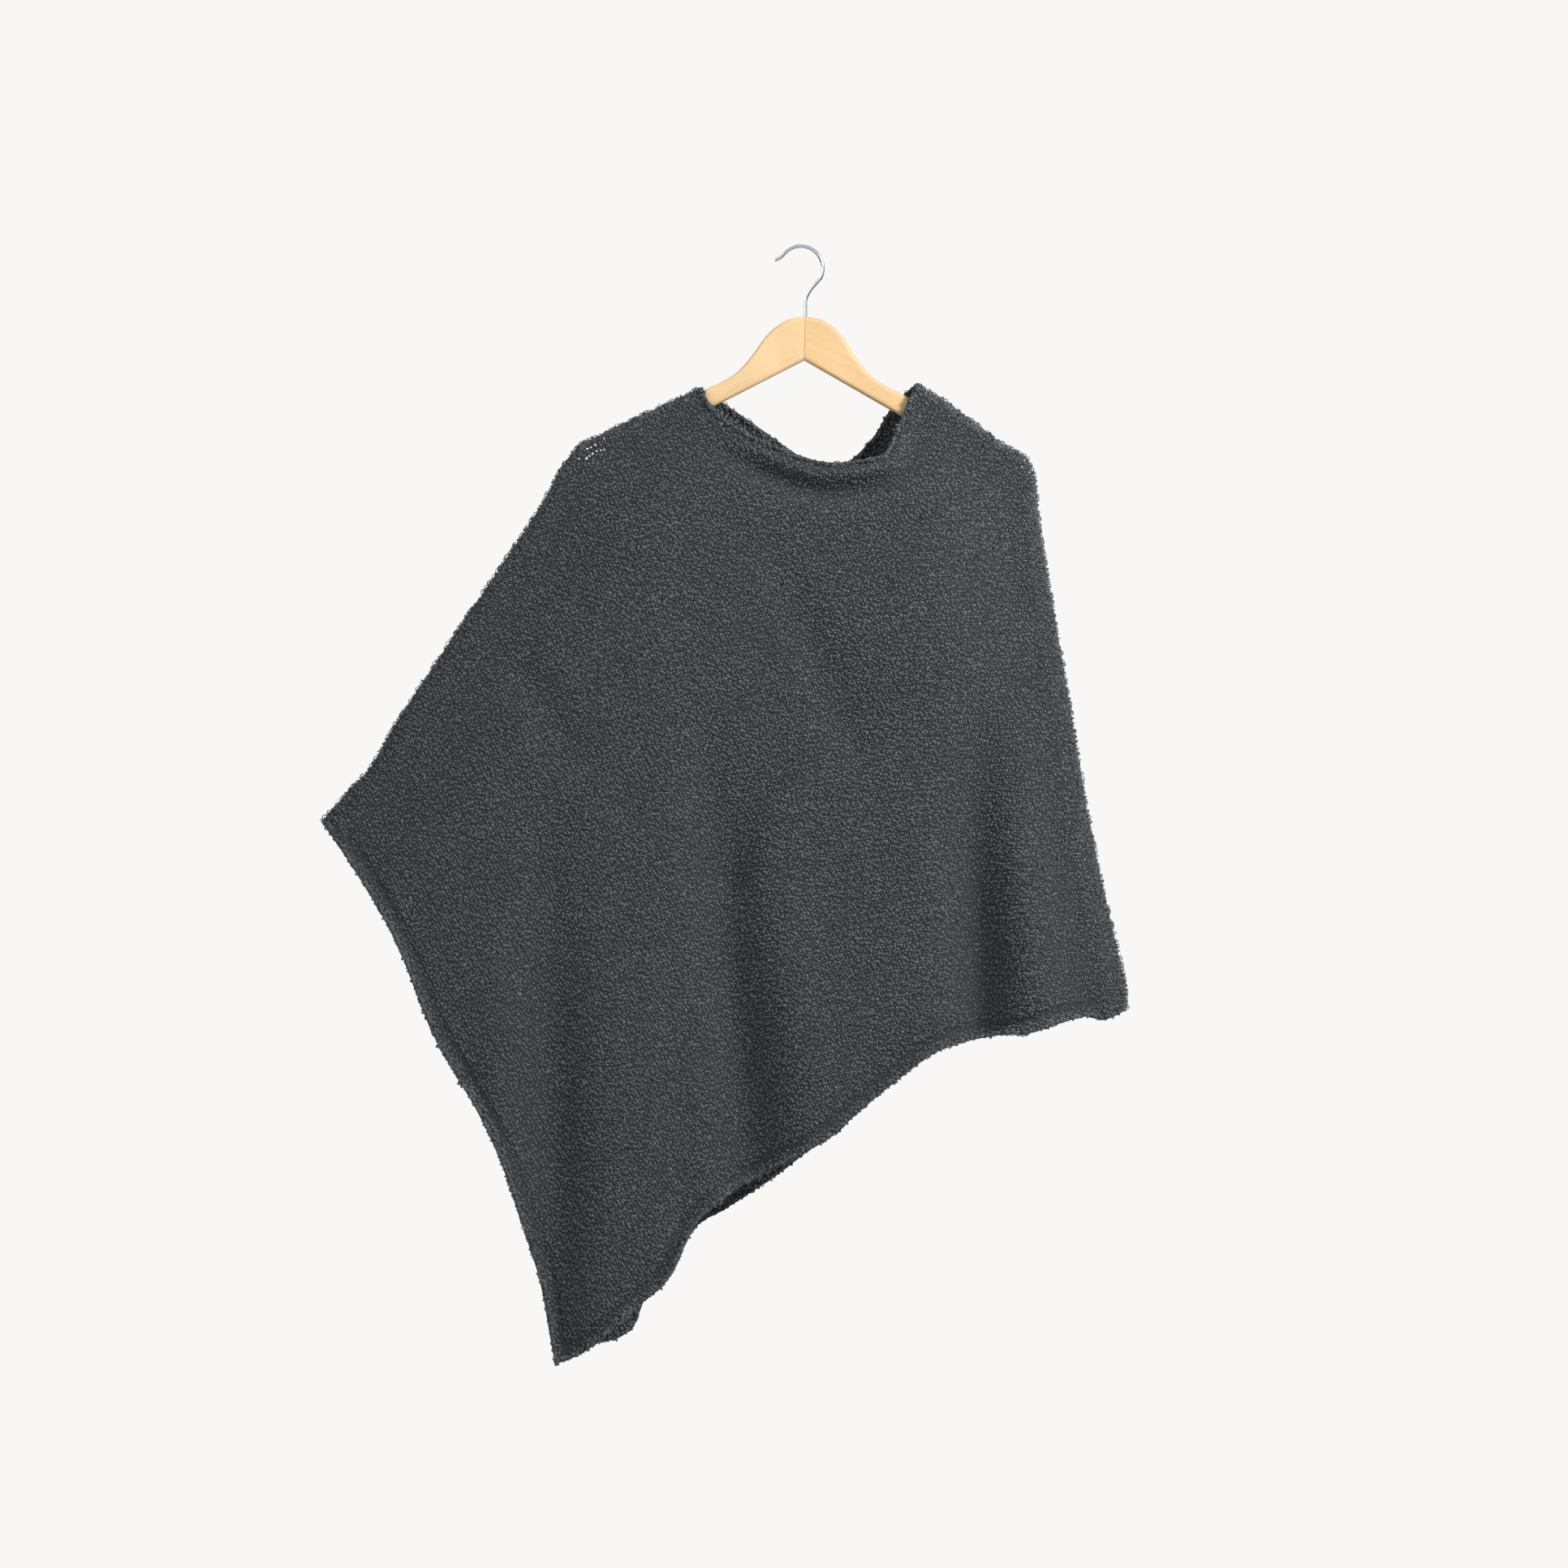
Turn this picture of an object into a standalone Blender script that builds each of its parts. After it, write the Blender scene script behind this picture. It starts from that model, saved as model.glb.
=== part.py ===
"""A hand-knitted poncho of dark boucle yarn, hanging askew on a wooden hanger with a wire hook.

Metres, +Z up, and the front faces -Y. The origin is the inner crown of the hook, where a rail
holds it. Tables are in millimetres: x is to the viewer's right, z is up.
"""

import math
from collections import namedtuple

import bmesh
import bpy
import numpy as np
from mathutils import Matrix

MM = 0.001

# Fits
GAP = 0.3
WALL = 3.0
SEAM_STRIP = 1.2

# Hook: a wire bent to an open circle, with a diagonal neck and a straight stem
WIRE_RADIUS = 1.7
HOOK_RADIUS = 21.1
HOOK_CENTRE_Z = WIRE_RADIUS - HOOK_RADIUS
HOOK_OPENING_ANGLE = 137.0
HOOK_NECK_ANGLE = -28.0
HOOK_ARC_STEP = 7.5
HOOK_TIP = ((-19.6, -9.2), (-24.9, -11.9))
HOOK_NECK = ((12.6, -36.0), (7.6, -42.6), (4.8, -49.0), (4.35, -56.0))
HOOK_TIP_STEPS = 3
HOOK_NECK_STEPS = 4
STEM_X = 4.35
STEM_IN_WOOD = 12.3
BORE_DEPTH = 40.0
BORE_SIDES = 20

# Wooden hanger, in its own frame: the joint line is at reach 0, and drop is measured from its top
WOOD_TOP_X = 4.3
WOOD_TOP_Z = -65.7
WOOD_TILT = math.radians(1.4)
WOOD_THICKNESS = 12.0
WOOD_EDGE_RADIUS = 3.5
WOOD_REACH = 212.0
CLOTH_REACH = 216.0
NOTCH_DROP = 41.9
SHOULDER_SLOPE = 0.5
UNDERSIDE_SLOPE = 0.5415
CROWN = (  # reach, drop of the curved crown, down to the straight shoulder
    (0.0, 0.0),
    (15.0, 2.7),
    (28.0, 10.4),
    (38.0, 20.6),
    (48.0, 35.2),
    (58.0, 48.4),
    (68.0, 57.8),
    (81.0, 65.6),
    (96.5, 72.9),
)
CROWN_STEPS = 8
END_ARC_STEPS = 10
SHARP_ANGLE = math.radians(35.0)
HALF_SPACE_SIZE = 500.0
HALF_SPACE_DROP = 100.0

# The cloth's closed edge over the arms: where it comes down on the right arm, and the angles
# round the arms' ends at which it leaves them
RIGHT_ARM_REACH = 186.0
LEFT_LEAVE_ANGLE = 32.0
RIGHT_LEAVE_ANGLE = 55.0
SHOULDER_POINTS = 6
ARM_END_POINTS = 5
EDGE_STEPS = 6

# The cloth's outline from the front
NECK_FRONT = (  # x, z
    (-84.1, -152.6),
    (-61.8, -171.2),
    (-32.1, -186.8),
    (-2.4, -199.5),
    (20.0, -205.8),
    (42.2, -206.2),
    (71.9, -200.9),
    (82.0, -194.0),
    (88.3, -179.3),
    (97.2, -160.1),
    (103.2, -146.6),
)
NECK_BACK = (  # x, z
    (-86.0, -141.5),
    (-71.5, -149.4),
    (-42.7, -168.8),
    (-17.1, -186.7),
    (7.8, -203.0),
    (25.6, -209.0),
    (43.5, -205.4),
    (68.9, -180.8),
    (83.9, -157.2),
    (98.7, -139.3),
)
RIGHT_NECK_PEAK = ((111.3, -129.5), (121.0, -136.2), (138.8, -146.6), (156.0, -160.0), (170.0, -169.6))  # x, z
LEFT_SIDE = (  # x, z of the closed side below the hanger's left end
    (-229.2, -210.8),
    (-257.0, -259.8),
    (-320.0, -353.0),
    (-382.0, -446.0),
    (-410.5, -494.5),
    (-430.2, -516.1),
    (-458.4, -548.0),
)
RIGHT_SIDE = (  # x, z of the closed side below the hanger's right end
    (225.6, -226.0),
    (227.9, -260.0),
    (239.3, -329.7),
    (251.4, -399.6),
    (263.0, -469.5),
    (274.9, -539.5),
    (289.0, -609.4),
    (304.4, -675.0),
    (311.5, -708.0),
    (312.6, -727.0),
)
HEM_LEFT_FRONT = (  # x, z from the left side's lower corner down to the low point
    (-436.7, -578.3),
    (-398.0, -638.5),
    (-375.9, -685.3),
    (-352.2, -746.0),
    (-329.0, -788.7),
    (-305.6, -828.3),
    (-282.2, -879.8),
    (-258.9, -950.0),
    (-247.3, -991.4),
    (-239.0, -1044.0),
    (-234.7, -1068.6),
)
HEM_RIGHT_FRONT = (  # x, z from the low point up to the right side's lower corner
    (-206.7, -1054.6),
    (-184.9, -1037.6),
    (-159.3, -1014.2),
    (-132.1, -991.6),
    (-118.9, -973.0),
    (-107.2, -945.8),
    (-94.0, -926.4),
    (-62.2, -900.8),
    (-20.2, -876.5),
    (29.5, -848.0),
    (52.8, -827.0),
    (99.5, -788.6),
    (134.4, -765.6),
    (192.7, -751.6),
    (214.0, -750.5),
    (267.0, -735.0),
    (288.0, -738.0),
    (303.5, -732.5),
)
HEM_LEFT_BACK = (  # x, z
    (-435.0, -579.5),
    (-396.6, -640.0),
    (-374.2, -686.5),
    (-350.0, -747.0),
    (-327.0, -790.0),
    (-303.5, -830.0),
    (-280.0, -881.0),
    (-256.5, -950.5),
    (-245.0, -991.6),
    (-236.8, -1036.0),
    (-231.0, -1057.0),
)
HEM_RIGHT_BACK = (  # x, z
    (-205.0, -1052.0),
    (-174.8, -1044.0),
    (-160.4, -1033.5),
    (-150.0, -1007.0),
    (-126.0, -979.0),
    (-100.0, -939.6),
    (-74.6, -924.5),
    (-38.9, -900.5),
    (2.0, -870.5),
    (31.0, -845.5),
    (57.0, -820.5),
    (104.0, -783.0),
    (140.0, -759.0),
    (196.0, -746.5),
    (268.0, -732.0),
    (288.0, -735.0),
    (303.5, -730.0),
)

# How far the cloth stands from the plane of the seams, at its closed edge and at its body, and how
# wide the closed edge rounds over
Level = namedtuple("Level", "z edge_depth radius body_depth")
LEVELS = (
    Level(-120.0, 12.0, 8.0, 22.0),
    Level(-215.0, 12.0, 8.5, 26.0),
    Level(-300.0, 14.0, 15.0, 28.0),
    Level(-500.0, 18.0, 22.0, 33.0),
    Level(-740.0, 20.0, 24.0, 35.0),
    Level(-900.0, 19.0, 24.0, 33.0),
    Level(-1070.0, 16.0, 20.0, 23.0),
)
BODY_RUN = 95.0

# Folds: three points on the crest line, half widths at its ends, and height; a trough is below 0
Fold = namedtuple("Fold", "x0 z0 x1 z1 x2 z2 width_start width_end height")
FRONT_FOLDS = (
    Fold(176.0, -400.0, 166.0, -570.0, 172.0, -775.0, 22.0, 26.0, -20.0),
    Fold(216.0, -420.0, 218.0, -590.0, 234.0, -760.0, 24.0, 30.0, 13.0),
    Fold(-84.0, -430.0, -72.0, -640.0, -48.0, -910.0, 26.0, 36.0, -20.0),
    Fold(-34.0, -540.0, -10.0, -700.0, 18.0, -880.0, 28.0, 40.0, 7.0),
    Fold(6.0, -470.0, -36.0, -520.0, -66.0, -600.0, 19.0, 20.0, -5.0),
    Fold(-122.0, -580.0, -116.0, -740.0, -108.0, -930.0, 20.0, 22.0, -6.0),
    Fold(-236.0, -480.0, -238.0, -740.0, -236.0, -1060.0, 26.0, 28.0, -15.0),
    Fold(-284.0, -600.0, -288.0, -770.0, -270.0, -930.0, 25.0, 25.0, 7.0),
    Fold(-182.0, -560.0, -180.0, -780.0, -178.0, -1020.0, 24.0, 28.0, 3.0),
    Fold(-54.0, -240.0, 0.0, -350.0, 50.0, -470.0, 19.0, 20.0, -4.0),
    Fold(-304.0, -365.0, -262.0, -410.0, -220.0, -476.0, 20.0, 20.0, -4.0),
    Fold(92.0, -262.0, 112.0, -310.0, 104.0, -372.0, 70.0, 70.0, 8.0),
)
BACK_FOLDS = (
    Fold(-150.0, -390.0, -168.0, -640.0, -172.0, -1040.0, 24.0, 32.0, -14.0),
    Fold(-96.0, -440.0, -108.0, -650.0, -96.0, -930.0, 28.0, 36.0, 10.0),
    Fold(38.0, -370.0, 46.0, -600.0, 64.0, -830.0, 22.0, 30.0, -15.0),
    Fold(98.0, -460.0, 108.0, -620.0, 124.0, -780.0, 26.0, 32.0, 9.0),
    Fold(206.0, -480.0, 212.0, -630.0, 224.0, -755.0, 20.0, 24.0, -11.0),
    Fold(-338.0, -500.0, -322.0, -650.0, -300.0, -850.0, 22.0, 26.0, -9.0),
    Fold(-250.0, -540.0, -246.0, -760.0, -240.0, -960.0, 26.0, 28.0, 7.0),
    Fold(-24.0, -560.0, -30.0, -700.0, -30.0, -880.0, 22.0, 24.0, -5.0),
    Fold(150.0, -235.0, 98.0, -305.0, 30.0, -380.0, 20.0, 20.0, -5.0),
    Fold(-168.0, -245.0, -132.0, -320.0, -104.0, -410.0, 21.0, 21.0, -4.0),
)
CREST_STEPS = 8
FOLD_LEAD = 0.08  # shares of a crest line: a fold starts so far before it, and takes so long to rise
FOLD_FADE = 0.8
FOLD_START = 0.6  # radii of the closed edge: folds start so far in from it, and take so long to rise
FOLD_RUN = 2.0

# The neck edge rolls outwards: how far below it the roll and the crease under it lie
Band = namedtuple("Band", "below width height")
NECK_BANDS = {
    "front": (Band(11.0, 9.0, 7.0), Band(29.0, 10.0, -5.5)),
    "back": (Band(12.0, 10.0, 2.5), Band(32.0, 14.0, -1.5)),
}
NECK_FADE = 85.0
NECK_RUN = 0.4  # share of the neck edge, from its left end, in which the roll grows to its height

# Grid of each panel
EDGE_ANGLES = (0.0, 22.5, 45.0, 67.5, 90.0)
COLUMNS_LEFT = 10
COLUMNS_RIGHT = 25
TIP_AT = 0.36
ROWS_NECK = (0.0, 0.007, 0.014, 0.022, 0.031, 0.043, 0.06, 0.085, 0.115)
ROWS_SHOULDER = (0.143, 0.169, 0.184, 0.198, 0.217, 0.235)
ROWS_BODY = 17
ROW_HEM = 0.985
SAMPLES = 240
OUTLINE_STEPS = 8


def smooth_path(points, steps=OUTLINE_STEPS):
    """A Catmull-Rom curve through the points, with the given number of steps between two."""
    p = np.array(points, float)
    p = np.vstack((2 * p[0] - p[1], p, 2 * p[-1] - p[-2]))
    t = np.linspace(0.0, 1.0, steps, endpoint=False)[:, None]
    runs = []
    for a, b, c, d in zip(p[:-3], p[1:-2], p[2:-1], p[3:]):
        cubic = (3 * b - 3 * c + d - a) * t**3 + (2 * a - 5 * b + 4 * c - d) * t**2
        runs.append(0.5 * (2 * b + (c - a) * t + cubic))
    runs.append(p[-2:-1])
    return np.vstack(runs)


def along(path, share):
    """Points at the given shares of a path's length."""
    steps = np.hypot(*np.diff(path, axis=0).T)
    reached = np.concatenate(([0.0], np.cumsum(steps)))
    wanted = np.asarray(share) * reached[-1]
    return np.stack([np.interp(wanted, reached, path[:, k]) for k in (0, 1)], -1)


def nearest(points, path):
    """Each point's distance to a path, and the share of the path's steps passed where it is nearest."""
    start = path[:-1]
    step = path[1:] - start
    offset = points[:, None, :] - start
    part = np.clip((offset * step).sum(-1) / (step**2).sum(-1), 0.0, 1.0)
    distance = np.linalg.norm(offset - part[..., None] * step, axis=-1)
    best = distance.argmin(1)
    row = np.arange(len(points))
    return distance[row, best], (best + part[row, best]) / len(step)


def smoothstep(value):
    value = np.clip(value, 0.0, 1.0)
    return value * value * (3.0 - 2.0 * value)


def wood_to_world(points):
    """From the hanger's own frame to the object's: turned clockwise by the tilt, then moved."""
    x, z = np.asarray(points, float).T
    c, s = math.cos(WOOD_TILT), math.sin(WOOD_TILT)
    return np.stack((WOOD_TOP_X + c * x + s * z, WOOD_TOP_Z - s * x + c * z), -1)


def shoulder_drop(reach):
    last_reach, last_drop = CROWN[-1]
    return last_drop + SHOULDER_SLOPE * (reach - last_reach)


def underside_drop(reach):
    return NOTCH_DROP + UNDERSIDE_SLOPE * reach


def arm_end(furthest):
    """Centre and radius of a round end that reaches so far, and the angle of the arm's slope."""
    slope = math.atan((SHOULDER_SLOPE + UNDERSIDE_SLOPE) / 2.0)
    half = 0.5 * math.cos(slope)
    growth = UNDERSIDE_SLOPE - SHOULDER_SLOPE
    radius = half * (underside_drop(furthest) - shoulder_drop(furthest)) / (1.0 + half * growth)
    reach = furthest - radius
    drop = 0.5 * (underside_drop(reach) + shoulder_drop(reach))
    return np.array((reach, -drop)), radius, slope


def arm_outline():
    """Right half of the wood's outline, from the top of the joint line round to the notch."""
    crown = smooth_path([(reach, -drop) for reach, drop in CROWN], CROWN_STEPS)
    centre, radius, slope = arm_end(WOOD_REACH)
    turn = np.linspace(0.0, math.pi, END_ARC_STEPS + 1)
    end = centre + radius * np.stack((np.sin(turn + slope), np.cos(turn + slope)), -1)
    return np.vstack((crown, end, [(0.0, -NOTCH_DROP)]))


def over_the_arm(side, reach_start, leave_angle):
    """The cloth's closed edge on the hanger: along the shoulder, then round the arm's end."""
    out = WALL + GAP
    angle = math.atan(SHOULDER_SLOPE)
    centre, radius, slope = arm_end(CLOTH_REACH)
    reach = np.linspace(reach_start, centre[0], SHOULDER_POINTS)[:-1]
    line = np.stack((reach, -shoulder_drop(reach)), -1)
    line += out * np.array((math.sin(angle), math.cos(angle)))
    turn = slope + np.radians(np.linspace(0.0, leave_angle, ARM_END_POINTS))
    end = centre + (radius + out) * np.stack((np.sin(turn), np.cos(turn)), -1)
    path = np.vstack((line, end))
    return wood_to_world(path * np.array((side, 1.0)))


def closed_edges():
    """The left and the right closed edge of the poncho, from the neck to the hem."""
    left = np.vstack((over_the_arm(-1.0, CROWN[-1][0], LEFT_LEAVE_ANGLE), LEFT_SIDE))
    over_right = over_the_arm(1.0, RIGHT_ARM_REACH, RIGHT_LEAVE_ANGLE)
    right = np.vstack((RIGHT_NECK_PEAK, over_right, RIGHT_SIDE))
    return smooth_path(left, EDGE_STEPS), smooth_path(right, EDGE_STEPS)


def level(z, column):
    """A named column of LEVELS at heights z, read between its rows."""
    heights = [-row.z for row in LEVELS]
    return np.interp(-z, heights, [getattr(row, column) for row in LEVELS])


def bell(value, middle, width):
    return np.exp(-(((value - middle) / width) ** 2))


def fold_height(points, folds):
    """Sum of folds: each is a bell curve across a curved crest line, and rises slowly along it."""
    total = np.zeros(len(points))
    for fold in folds:
        crest = ((fold.x0, fold.z0), (fold.x1, fold.z1), (fold.x2, fold.z2))
        distance, share = nearest(points, smooth_path(crest, CREST_STEPS))
        width = fold.width_start + (fold.width_end - fold.width_start) * share
        fade = smoothstep((share + FOLD_LEAD) / FOLD_FADE)
        total += fold.height * fade * bell(distance, 0.0, width)
    return total


def cloth_depth(points, side, edges, neck):
    """How far the cloth's outer face stands from the plane of the seams, at points (x, z)."""
    z = points[:, 1]
    edge, radius, body = (level(z, name) for name in ("edge_depth", "radius", "body_depth"))
    inside = np.minimum(*(nearest(points, path)[0] for path in edges))
    depth = edge + (body - edge) * smoothstep((inside - radius) / BODY_RUN)
    folds = FRONT_FOLDS if side == "front" else BACK_FOLDS
    depth += fold_height(points, folds) * smoothstep((inside / radius - FOLD_START) / FOLD_RUN)
    below, share = nearest(points, neck)
    fade = smoothstep((inside - radius) / NECK_FADE) * smoothstep(share / NECK_RUN)
    for band in NECK_BANDS[side]:
        depth += band.height * bell(below, band.below, band.width) * fade
    left_over = 1.0 - np.clip(inside / radius, 0.0, 1.0)
    return SEAM_STRIP + (depth - SEAM_STRIP) * np.sqrt(1.0 - left_over**2)


def panel_grid(side):
    """The panel's outer face as a grid of points, rows from neck to hem, columns left to right.

    The rows are those of a Coons patch between the closed edges, the neck edge and the hem.
    """
    left, right = closed_edges()
    front = side == "front"
    neck = smooth_path([left[0], *(NECK_FRONT if front else NECK_BACK), right[0]])
    hem_left = HEM_LEFT_FRONT if front else HEM_LEFT_BACK
    hem_right = HEM_RIGHT_FRONT if front else HEM_RIGHT_BACK
    hem_a = smooth_path([left[-1], *hem_left])
    hem_b = smooth_path([hem_left[-1], *hem_right, right[-1]])

    body = np.linspace(ROWS_SHOULDER[-1], ROW_HEM, ROWS_BODY + 1)[1:]
    v = np.concatenate((ROWS_NECK, ROWS_SHOULDER, body, [1.0]))
    u = np.linspace(0.0, 1.0, SAMPLES + 1)
    hem = np.where(
        (u <= TIP_AT)[:, None],
        along(hem_a, np.clip(u / TIP_AT, 0.0, 1.0)),
        along(hem_b, np.clip((u - TIP_AT) / (1.0 - TIP_AT), 0.0, 1.0)),
    )
    top = along(neck, u)
    start, end = along(left, v)[:, None], along(right, v)[:, None]
    uu, vv = u[None, :, None], v[:, None, None]
    corners = (1 - uu) * ((1 - vv) * top[0] + vv * hem[0])
    corners += uu * ((1 - vv) * top[-1] + vv * hem[-1])
    patch = (1 - vv) * top + vv * hem + (1 - uu) * start + uu * end - corners

    round_off = 1.0 - np.cos(np.radians(EDGE_ANGLES))
    rows = []
    for line in patch:
        radius = level(line[[0, -1], 1], "radius")
        steps = np.hypot(*np.diff(line, axis=0).T)
        reached = np.concatenate(([0.0], np.cumsum(steps)))
        at_left = np.interp(radius[0] * round_off, reached, u)
        at_right = np.interp(reached[-1] - radius[1] * round_off, reached, u)[::-1]
        across = np.concatenate(
            (
                at_left[:1],
                at_left,
                np.linspace(at_left[-1], TIP_AT, COLUMNS_LEFT + 1)[1:],
                np.linspace(TIP_AT, at_right[0], COLUMNS_RIGHT + 1)[1:-1],
                at_right,
                at_right[-1:],
            )
        )
        rows.append(np.stack([np.interp(across, u, line[:, k]) for k in (0, 1)], -1))
    grid = np.array(rows)
    depth = cloth_depth(grid.reshape(-1, 2), side, (left, right), neck)
    depth = depth.reshape(grid.shape[:2])
    depth[:, [1, -2]] = SEAM_STRIP
    depth[:, [0, -1]] = GAP / 2.0
    y = -depth if front else depth
    return np.stack((grid[..., 0], y, grid[..., 1]), -1)


def material(name, colour, roughness, metallic=0.0):
    finish = bpy.data.materials.new(name)
    finish.use_nodes = True
    shader = finish.node_tree.nodes["Principled BSDF"]
    shader.inputs["Base Color"].default_value = (*colour, 1.0)
    shader.inputs["Roughness"].default_value = roughness
    shader.inputs["Metallic"].default_value = metallic
    finish.diffuse_color = (*colour, 1.0)
    return finish


def place(obj, collection, finish=None):
    collection.objects.link(obj)
    if finish:
        obj.data.materials.clear()
        obj.data.materials.append(finish)
    return obj


def make_panel(side, collection, finish):
    """One knitted panel: the grid as an open surface, thickened inwards to a thin wall."""
    grid = panel_grid(side) * MM
    rows, columns = grid.shape[:2]
    index = np.arange(rows * columns).reshape(rows, columns)
    quads = np.stack((index[:-1, :-1], index[1:, :-1], index[1:, 1:], index[:-1, 1:]), -1)
    quads = quads.reshape(-1, 4)
    if side == "back":
        quads = quads[:, ::-1]
    mesh = bpy.data.meshes.new(f"{side}_panel")
    mesh.from_pydata(grid.reshape(-1, 3).tolist(), [], quads.tolist())
    mesh.shade_smooth()
    panel = place(bpy.data.objects.new(f"{side}_panel", mesh), collection, finish)
    wall = panel.modifiers.new("wall", "SOLIDIFY")
    wall.thickness = WALL * MM
    wall.offset = -1.0
    wall.use_rim = True
    return panel


def curve_object(name, points, cyclic=False):
    """A POLY curve through 3-D points given in metres."""
    curve = bpy.data.curves.new(name, "CURVE")
    spline = curve.splines.new("POLY")
    spline.points.add(len(points) - 1)
    flat = np.column_stack((points, np.ones(len(points))))
    spline.points.foreach_set("co", flat.ravel())
    spline.use_cyclic_u = cyclic
    return bpy.data.objects.new(name, curve)


def to_mesh(obj, name):
    """A curve object made a welded mesh object in the same place; the curve is removed."""
    bpy.context.view_layer.update()
    evaluated = obj.evaluated_get(bpy.context.evaluated_depsgraph_get())
    mesh = bpy.data.meshes.new_from_object(evaluated)
    work = bmesh.new()
    work.from_mesh(mesh)
    bmesh.ops.remove_doubles(work, verts=work.verts, dist=0.00001)
    work.to_mesh(mesh)
    work.free()
    mesh.name = name
    solid = bpy.data.objects.new(name, mesh)
    solid.matrix_world = obj.matrix_world.copy()
    bpy.data.objects.remove(obj)
    return solid


def hide_cutter(obj, name, cutters):
    """Name a cutter, hide it from renders and move it to the cutters' collection."""
    obj.name = name
    obj.hide_render = True
    obj.display_type = "WIRE"
    obj.users_collection[0].objects.unlink(obj)
    cutters.objects.link(obj)
    return obj


def cut(obj, cutter, operation):
    boolean = obj.modifiers.new(cutter.name, "BOOLEAN")
    boolean.operation = operation
    boolean.solver = "EXACT"
    boolean.object = cutter


def make_hanger(parts, cutters, finish):
    """Both halves of the wood: one flat outline with rounded edges, parted at the joint line."""
    half = arm_outline()
    other = half[-2:0:-1] * np.array((-1.0, 1.0))
    outline = np.vstack((half, other))
    points = np.column_stack((outline * MM, np.zeros(len(outline))))
    blank = place(curve_object("wood_blank", points, cyclic=True), parts)
    blank.data.dimensions = "2D"
    blank.data.fill_mode = "BOTH"
    blank.data.extrude = (WOOD_THICKNESS / 2.0 - WOOD_EDGE_RADIUS) * MM
    blank.data.bevel_depth = WOOD_EDGE_RADIUS * MM
    blank.data.bevel_resolution = 2
    blank.data.offset = -WOOD_EDGE_RADIUS * MM
    upright = Matrix.Rotation(math.radians(90.0), 4, "X")
    tilt = Matrix.Rotation(WOOD_TILT, 4, "Y")
    top = Matrix.Translation((WOOD_TOP_X * MM, 0.0, WOOD_TOP_Z * MM))
    blank.matrix_world = top @ tilt @ upright
    wood = to_mesh(blank, "wood")

    bore_radius = (WIRE_RADIUS + GAP) * MM
    bpy.ops.mesh.primitive_cylinder_add(
        vertices=BORE_SIDES, radius=bore_radius, depth=BORE_DEPTH * MM
    )
    bore = hide_cutter(bpy.context.object, "stem_bore", cutters)
    bore_floor = WOOD_TOP_Z - STEM_IN_WOOD - GAP
    bore.location = (STEM_X * MM, 0.0, (bore_floor + BORE_DEPTH / 2.0) * MM)

    beside = (HALF_SPACE_SIZE + GAP) / 2.0 * MM
    for name, side in (("hanger_arm_left", -1.0), ("hanger_arm_right", 1.0)):
        bpy.ops.mesh.primitive_cube_add(size=HALF_SPACE_SIZE * MM)
        half_space = hide_cutter(bpy.context.object, f"{name}_half", cutters)
        move = Matrix.Translation((side * beside, 0.0, -HALF_SPACE_DROP * MM))
        half_space.matrix_world = top @ tilt @ move
        arm = bpy.data.objects.new(name, wood.data.copy())
        arm.matrix_world = wood.matrix_world.copy()
        place(arm, parts, finish)
        cut(arm, half_space, "INTERSECT")
        cut(arm, bore, "DIFFERENCE")
        arm.data.shade_smooth()
        arm.data.set_sharp_from_angle(angle=SHARP_ANGLE)
    bpy.data.objects.remove(wood)


def hook_path():
    """Centre line of the wire: blunt flared tip, open circle, diagonal neck and straight stem."""
    turns = int((HOOK_OPENING_ANGLE - HOOK_NECK_ANGLE) / HOOK_ARC_STEP)
    angle = np.radians(np.linspace(HOOK_OPENING_ANGLE, HOOK_NECK_ANGLE, turns + 1))
    circle = HOOK_RADIUS * np.stack((np.cos(angle), np.sin(angle)), -1)
    circle[:, 1] += HOOK_CENTRE_Z
    tip = smooth_path((circle[0], *HOOK_TIP), HOOK_TIP_STEPS)[:0:-1]
    stem_end = (STEM_X, WOOD_TOP_Z - STEM_IN_WOOD)
    neck = smooth_path((circle[-1], *HOOK_NECK, stem_end), HOOK_NECK_STEPS)[1:]
    return np.vstack((tip, circle, neck))


def make_hook(collection, finish):
    path = hook_path() * MM
    points = np.column_stack((path[:, 0], np.zeros(len(path)), path[:, 1]))
    hook = place(curve_object("hook", points), collection, finish)
    hook.data.dimensions = "3D"
    hook.data.bevel_depth = WIRE_RADIUS * MM
    hook.data.bevel_resolution = 3
    hook.data.use_fill_caps = True
    return hook


def main():
    for obj in list(bpy.data.objects):
        bpy.data.objects.remove(obj)
    parts = bpy.data.collections.new("poncho_on_hanger")
    cutters = bpy.data.collections.new("cutters")
    for collection in (parts, cutters):
        bpy.context.scene.collection.children.link(collection)
    knit = material("boucle_knit", (0.055, 0.062, 0.067), 0.95)
    beech = material("beech", (0.84, 0.60, 0.33), 0.45)
    chrome = material("chrome", (0.80, 0.80, 0.80), 0.15, 1.0)
    make_panel("front", parts, knit)
    make_panel("back", parts, knit)
    make_hanger(parts, cutters, beech)
    make_hook(parts, chrome)


main()
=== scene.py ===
"""The looks of a hand-knitted boucle poncho that hangs askew on a wooden hanger.

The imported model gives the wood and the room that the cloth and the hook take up. This file adds the
cloth: a thin shell for the front and one for the back, small yarn nubs laid along the knitted
courses, thicker beads along the neck and the hem, yarn loops and loose fibres. It also adds the
hook's smooth wire and the glue in the wood's joint. It is laid out as a Blender add-on and run as a
script. Tables are in millimetres from the hook's inner crown: x is to the viewer's right and z is
up. The front faces -Y.
"""

import functools
import math

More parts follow.
